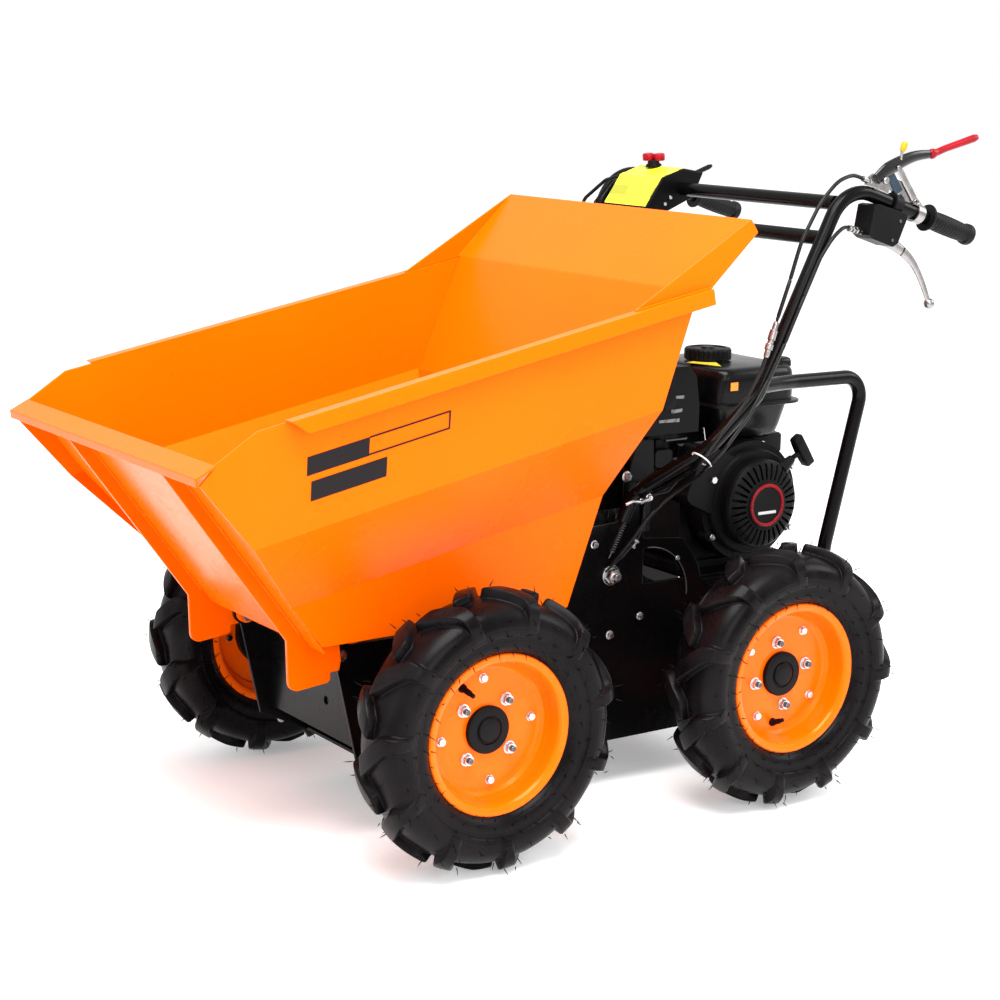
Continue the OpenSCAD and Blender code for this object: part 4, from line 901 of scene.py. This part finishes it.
class OBJECT_OT_dumper_hardware(bpy.types.Operator):
    """Add the chassis' bolts, washers, return spring and small links"""
    bl_idname = "object.dumper_hardware"
    bl_label = "Chassis hardware"

    def execute(self, context):
        stud = spindle([(6, 0), (6, 7), (5, 8.5)], (197, 158, 341), LEFT)
        make("chassis_bolts", "zinc", [
            *bolts((197, PLATE_Y, 341, 21.0), (230, PLATE_Y, 392, 9.0), (70, PLATE_Y, 353, 5.0)), stud,
            *bolts((169, 142.2, 489, 11.0), (118, 142.2, 477, 10.0), (140, PLATE_Y, 270, 8.0), (197, PLATE_Y, 248, 9.0),
                   *SKIRT_BOLTS)])
        make("chassis_bolts_right", "zinc", mirrored(bolts((197, PLATE_Y, 341, 15.0), (230, PLATE_Y, 392, 11.0),
                                                           *SKIRT_BOLTS)))
        top, low = np.array((182, 163, 431.0)), np.array((212, 163, 376.0))
        axis = unit(low - top)
        side = unit(np.cross(axis, LEFT))
        coil = helix(top + 6*axis, low - 6*axis, side, np.cross(axis, side), 3.4, 13, 208)
        make("return_spring", "steel", [wire(coil, 0.9), tube([top - 4*axis, top + 7*axis], 1.2),
                                        tube([low - 7*axis, low + 4*axis], 1.2)])
        link = tube(eased([(203, 186, 457), (190, 188, 461), (176, 188, 459), (158, 188, 463)], 20), 2.6)
        make("selector_links", "chrome", [link] + bolts((158, 184, 463, 8.0), (172, 184, 459, 6.0)))
        support = [(158, 436), (226, 436), (216, 488), (196, 506), (158, 508)]
        make("selector_support", "frame", [plate(support, 118, 4)], bevel=0.8)
        arc = np.radians(np.linspace(88, 184, 60))
        edge = np.stack((WINDOW_X + WINDOW_R*np.cos(arc), WINDOW_Z + WINDOW_R*np.sin(arc)), axis=-1)
        make("window_edge", "steel", [wire(drawn(edge, PLATE_Y), 1.0)], sharp=60)
        return {"FINISHED"}


# ---- skip

BEAD_R = 2.2
FRONT_AXLE = 533.0                          # forward of the rear axle
FRONT_FOOT, FRONT_LEAN = -38.6, 0.737       # the front wall: forward of its axle, and farther for each mm up
# the rim: a place at its front, and its rise for each mm to the rear
RIM_X, RIM_Z, RIM_SLOPE = 875.0, 640.0, math.tan(math.radians(11.31))


def bead(route):
    """A weld bead: a flattened tube whose radius ripples along the seam."""
    route = np.asarray(route, float)
    known = np.concatenate(([0], np.cumsum(np.linalg.norm(np.diff(route, axis=0), axis=1))))
    length = known[-1]
    share = np.linspace(0, 1, max(8, int(length/1.6)))
    line = np.stack([np.interp(share, known/length, places) for places in route.T], axis=-1)
    ripple = BEAD_R*(1 + 0.10*np.sin(share*length*1.9) + 0.06*np.sin(share*length*0.37 + 1))
    ripple[0] = ripple[-1] = 0.3*BEAD_R
    return tube(line, ripple, 0.8, 8)


def rim_height(x):
    """RIM_Z + RIM_SLOPE*(RIM_X - x): the height of the skip's rim."""
    return RIM_Z + RIM_SLOPE*(RIM_X - x)


def on_side(corners, lift):
    """Places on the skip's left side, above its fold, from (forward, up): it leans in 12 mm in 155."""
    x, z = np.asarray(corners, float).T
    return np.stack((x, 302.0 - 12.0*(rim_height(x) - z)/155.0 + lift, z), axis=-1)


def panel(front, back, top, high):
    """A film on the skip's side, high from top to bottom, along the rim's slope from front to back."""
    rise = RIM_SLOPE*(front - back)
    corners = [(front, top), (back, top + rise), (back, top + rise - high), (front, top - high)]
    return rings(np.stack((on_side(corners, 0.15), on_side(corners, 0.75))))


class OBJECT_OT_dumper_skip(bpy.types.Operator):
    """Add the skip's weld beads and the plain dark panels on its left side"""
    bl_idname = "object.dumper_skip"
    bl_label = "Skip welds and panels"

    def execute(self, context):
        beads = [bead([(FRONT_AXLE + FRONT_FOOT + FRONT_LEAN*z + 1.0, y, z) for z in (322, 560)])
                 for y in (147.0, 153.4)]
        feet = FRONT_AXLE + np.linspace(-246, -383, 5)
        beads.append(bead([(x, 305.4, rim_height(x) + 3.6) for x in feet]))
        make("skip_welds", "skip", beads + mirrored(beads), body="skip", sharp=60)
        make("side_panels", "panel", [
            panel(802, 710, 600.4, 25), panel(795, 682, 567.7, 26.5), panel(710, 585.5, 619.7, 2.4),
            panel(710, 585.5, 596.6, 2.4), panel(588, 585.5, 644.1, 24.0)], body="skip")
        return {"FINISHED"}

# ---- the solids' finishes, the stage

class OBJECT_OT_dumper_dress(bpy.types.Operator):
    """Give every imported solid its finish"""
    bl_idname = "object.dumper_dress"
    bl_label = "Dress the solids"

    def execute(self, context):
        make_finishes(context.scene.dumper_looks)
        for name in frame["nodes"]:
            wears = next(finish for finish, starts in WEARS.items() if name.startswith(starts))
            for slot in bpy.data.objects[name].material_slots:
                slot.material = FINISHES[wears]
        return {"FINISHED"}


FLOOR_REACH = 14.0                  # metres from the middle to each side
# lamps: name, place, width in metres, share of the lamp power
LAMPS = [("top lamp", (0.7, 1.0, 3.2), 2.4, 1.75), ("near lamp", (0.8, 3.4, 1.9), 2.0, 0.4),
         ("front lamp", (3.8, -0.4, 1.6), 2.0, 0.12), ("rear lamp", (-2.8, 1.4, 2.2), 1.6, 0.35)]
LAMP_TARGET = (0.0, 0.0, 0.45)
# the camera: its place from the rear axle, its yaw, pitch and roll in degrees, and its shift
CAMERA_PLACE = (2.1173, 2.6609, 1.0990)
CAMERA_TURN = (-124.66, -11.73, 1.01)
CAMERA_SHIFT = (-0.0127, 0.0073)


def camera_turn(yaw, pitch, roll):
    """The camera's axes as a matrix: yaw about +Z from +X, pitch above the ground, roll about its view."""
    y, p, r = map(math.radians, (yaw, pitch, roll))
    ahead = Vector((math.cos(p)*math.cos(y), math.cos(p)*math.sin(y), math.sin(p)))
    right = Vector((math.sin(y), -math.cos(y), 0.0))
    up = right.cross(ahead)
    right, up = right*math.cos(r) + up*math.sin(r), up*math.cos(r) - right*math.sin(r)
    return Matrix((right, up, -ahead)).transposed()


def pale_surroundings(scene, daylight):
    """A white world: daylight lights the machine, and what the camera and reflections see of it stays plain white."""
    world = bpy.data.worlds.new("pale surroundings")
    scene.world = world
    world.use_nodes = True
    tree = world.node_tree
    light, shown = tree.nodes["Background"], tree.nodes.new("ShaderNodeBackground")
    for background, strength in ((light, daylight), (shown, 1.0)):
        background.inputs["Color"].default_value = (1.0, 1.0, 1.0, 1.0)
        background.inputs["Strength"].default_value = strength
    path = tree.nodes.new("ShaderNodeLightPath")
    seen, *others = (path.outputs["Is " + kind + " Ray"] for kind in ("Camera", "Glossy", "Transmission"))
    for other in others:
        either = tree.nodes.new("ShaderNodeMath")
        either.operation = "MAXIMUM"
        for slot, source in zip(either.inputs, (seen, other)):
            tree.links.new(source, slot)
        seen = either.outputs[0]
    mix = tree.nodes.new("ShaderNodeMixShader")
    for slot, source in zip(mix.inputs, (seen, light.outputs[0], shown.outputs[0])):
        tree.links.new(source, slot)
    tree.links.new(mix.outputs[0], tree.nodes["World Output"].inputs[0])


def pale_floor():
    """A wide white floor that gives a little light of its own, so that it melts into the surroundings."""
    mesh = bpy.data.meshes.new("floor")
    corners = [(x*FLOOR_REACH, y*FLOOR_REACH, 0) for x, y in ((-1, -1), (1, -1), (1, 1), (-1, 1))]
    mesh.from_pydata(corners, [], [(0, 1, 2, 3)])
    pale = Finish("pale floor", (0.92, 0.92, 0.92), 0.9, Specular_IOR_Level=0.1, Emission_Color=(1.0, 1.0, 1.0, 1.0),
                  Emission_Strength=0.30)
    mesh.materials.append(pale.material)
    floor = new_object("floor", mesh)


def soft_lamp(name, place, size, power):
    """A round area lamp that faces the machine's middle."""
    light = bpy.data.lights.new(name, "AREA")
    light.shape, light.size, light.energy = "DISK", size, power
    lamp = new_object(name, light)
    lamp.location = place
    lamp.rotation_euler = (Vector(LAMP_TARGET) - Vector(place)).to_track_quat("-Z", "Y").to_euler()


class OBJECT_OT_dumper_stage(bpy.types.Operator):
    """Add the floor, the pale surroundings, the soft lamps and the camera"""
    bl_idname = "object.dumper_stage"
    bl_label = "Stage"

    def execute(self, context):
        scene, setting = context.scene, context.scene.dumper_stage
        scene.view_settings.view_transform = "Standard"
        pale_surroundings(scene, setting.daylight)
        pale_floor()
        for name, place, size, share in LAMPS:
            soft_lamp(name, place, size, share*setting.lamp_power)
        data = bpy.data.cameras.new("camera")
        data.lens, data.sensor_width = setting.lens, 36.0
        data.shift_x, data.shift_y = CAMERA_SHIFT
        scene.camera = new_object("camera", data)
        place = Vector(CAMERA_PLACE) + Vector((REAR_X, 0, 0))
        scene.camera.matrix_world = Matrix.Translation(place) @ camera_turn(*CAMERA_TURN).to_4x4()
        return {"FINISHED"}


class VIEW3D_PT_dumper(bpy.types.Panel):
    """The builder's sizes and steps, in order"""
    bl_label = "Dumper"
    bl_space_type = "VIEW_3D"
    bl_region_type = "UI"
    bl_category = "Dumper"

    def draw(self, context):
        layout = self.layout
        for group in (context.scene.dumper_looks, context.scene.dumper_stage):
            for name in group.bl_rna.properties.keys():
                if name not in {"rna_type", "name"}:
                    layout.prop(group, name)
        for step in STEPS:
            layout.operator(step.bl_idname)


STEPS = (OBJECT_OT_dumper_stage, OBJECT_OT_dumper_dress, OBJECT_OT_dumper_tyres, OBJECT_OT_dumper_tubes,
         OBJECT_OT_dumper_cables, OBJECT_OT_dumper_levers, OBJECT_OT_dumper_console, OBJECT_OT_dumper_engine,
         OBJECT_OT_dumper_hardware, OBJECT_OT_dumper_skip)
GROUPS = {"dumper_looks": DumperLooks, "dumper_stage": DumperStage}


def register():
    for kind in (*GROUPS.values(), *STEPS, VIEW3D_PT_dumper):
        bpy.utils.register_class(kind)
    for name, group in GROUPS.items():
        setattr(bpy.types.Scene, name, PointerProperty(type=group))


def unregister():
    for name in GROUPS:
        delattr(bpy.types.Scene, name)
    for kind in (VIEW3D_PT_dumper, *reversed(STEPS), *GROUPS.values()):
        bpy.utils.unregister_class(kind)


def main():
    register()
    for step in STEPS:
        area, name = step.bl_idname.split(".")
        getattr(getattr(bpy.ops, area), name)()


if __name__ == "__main__":
    main()
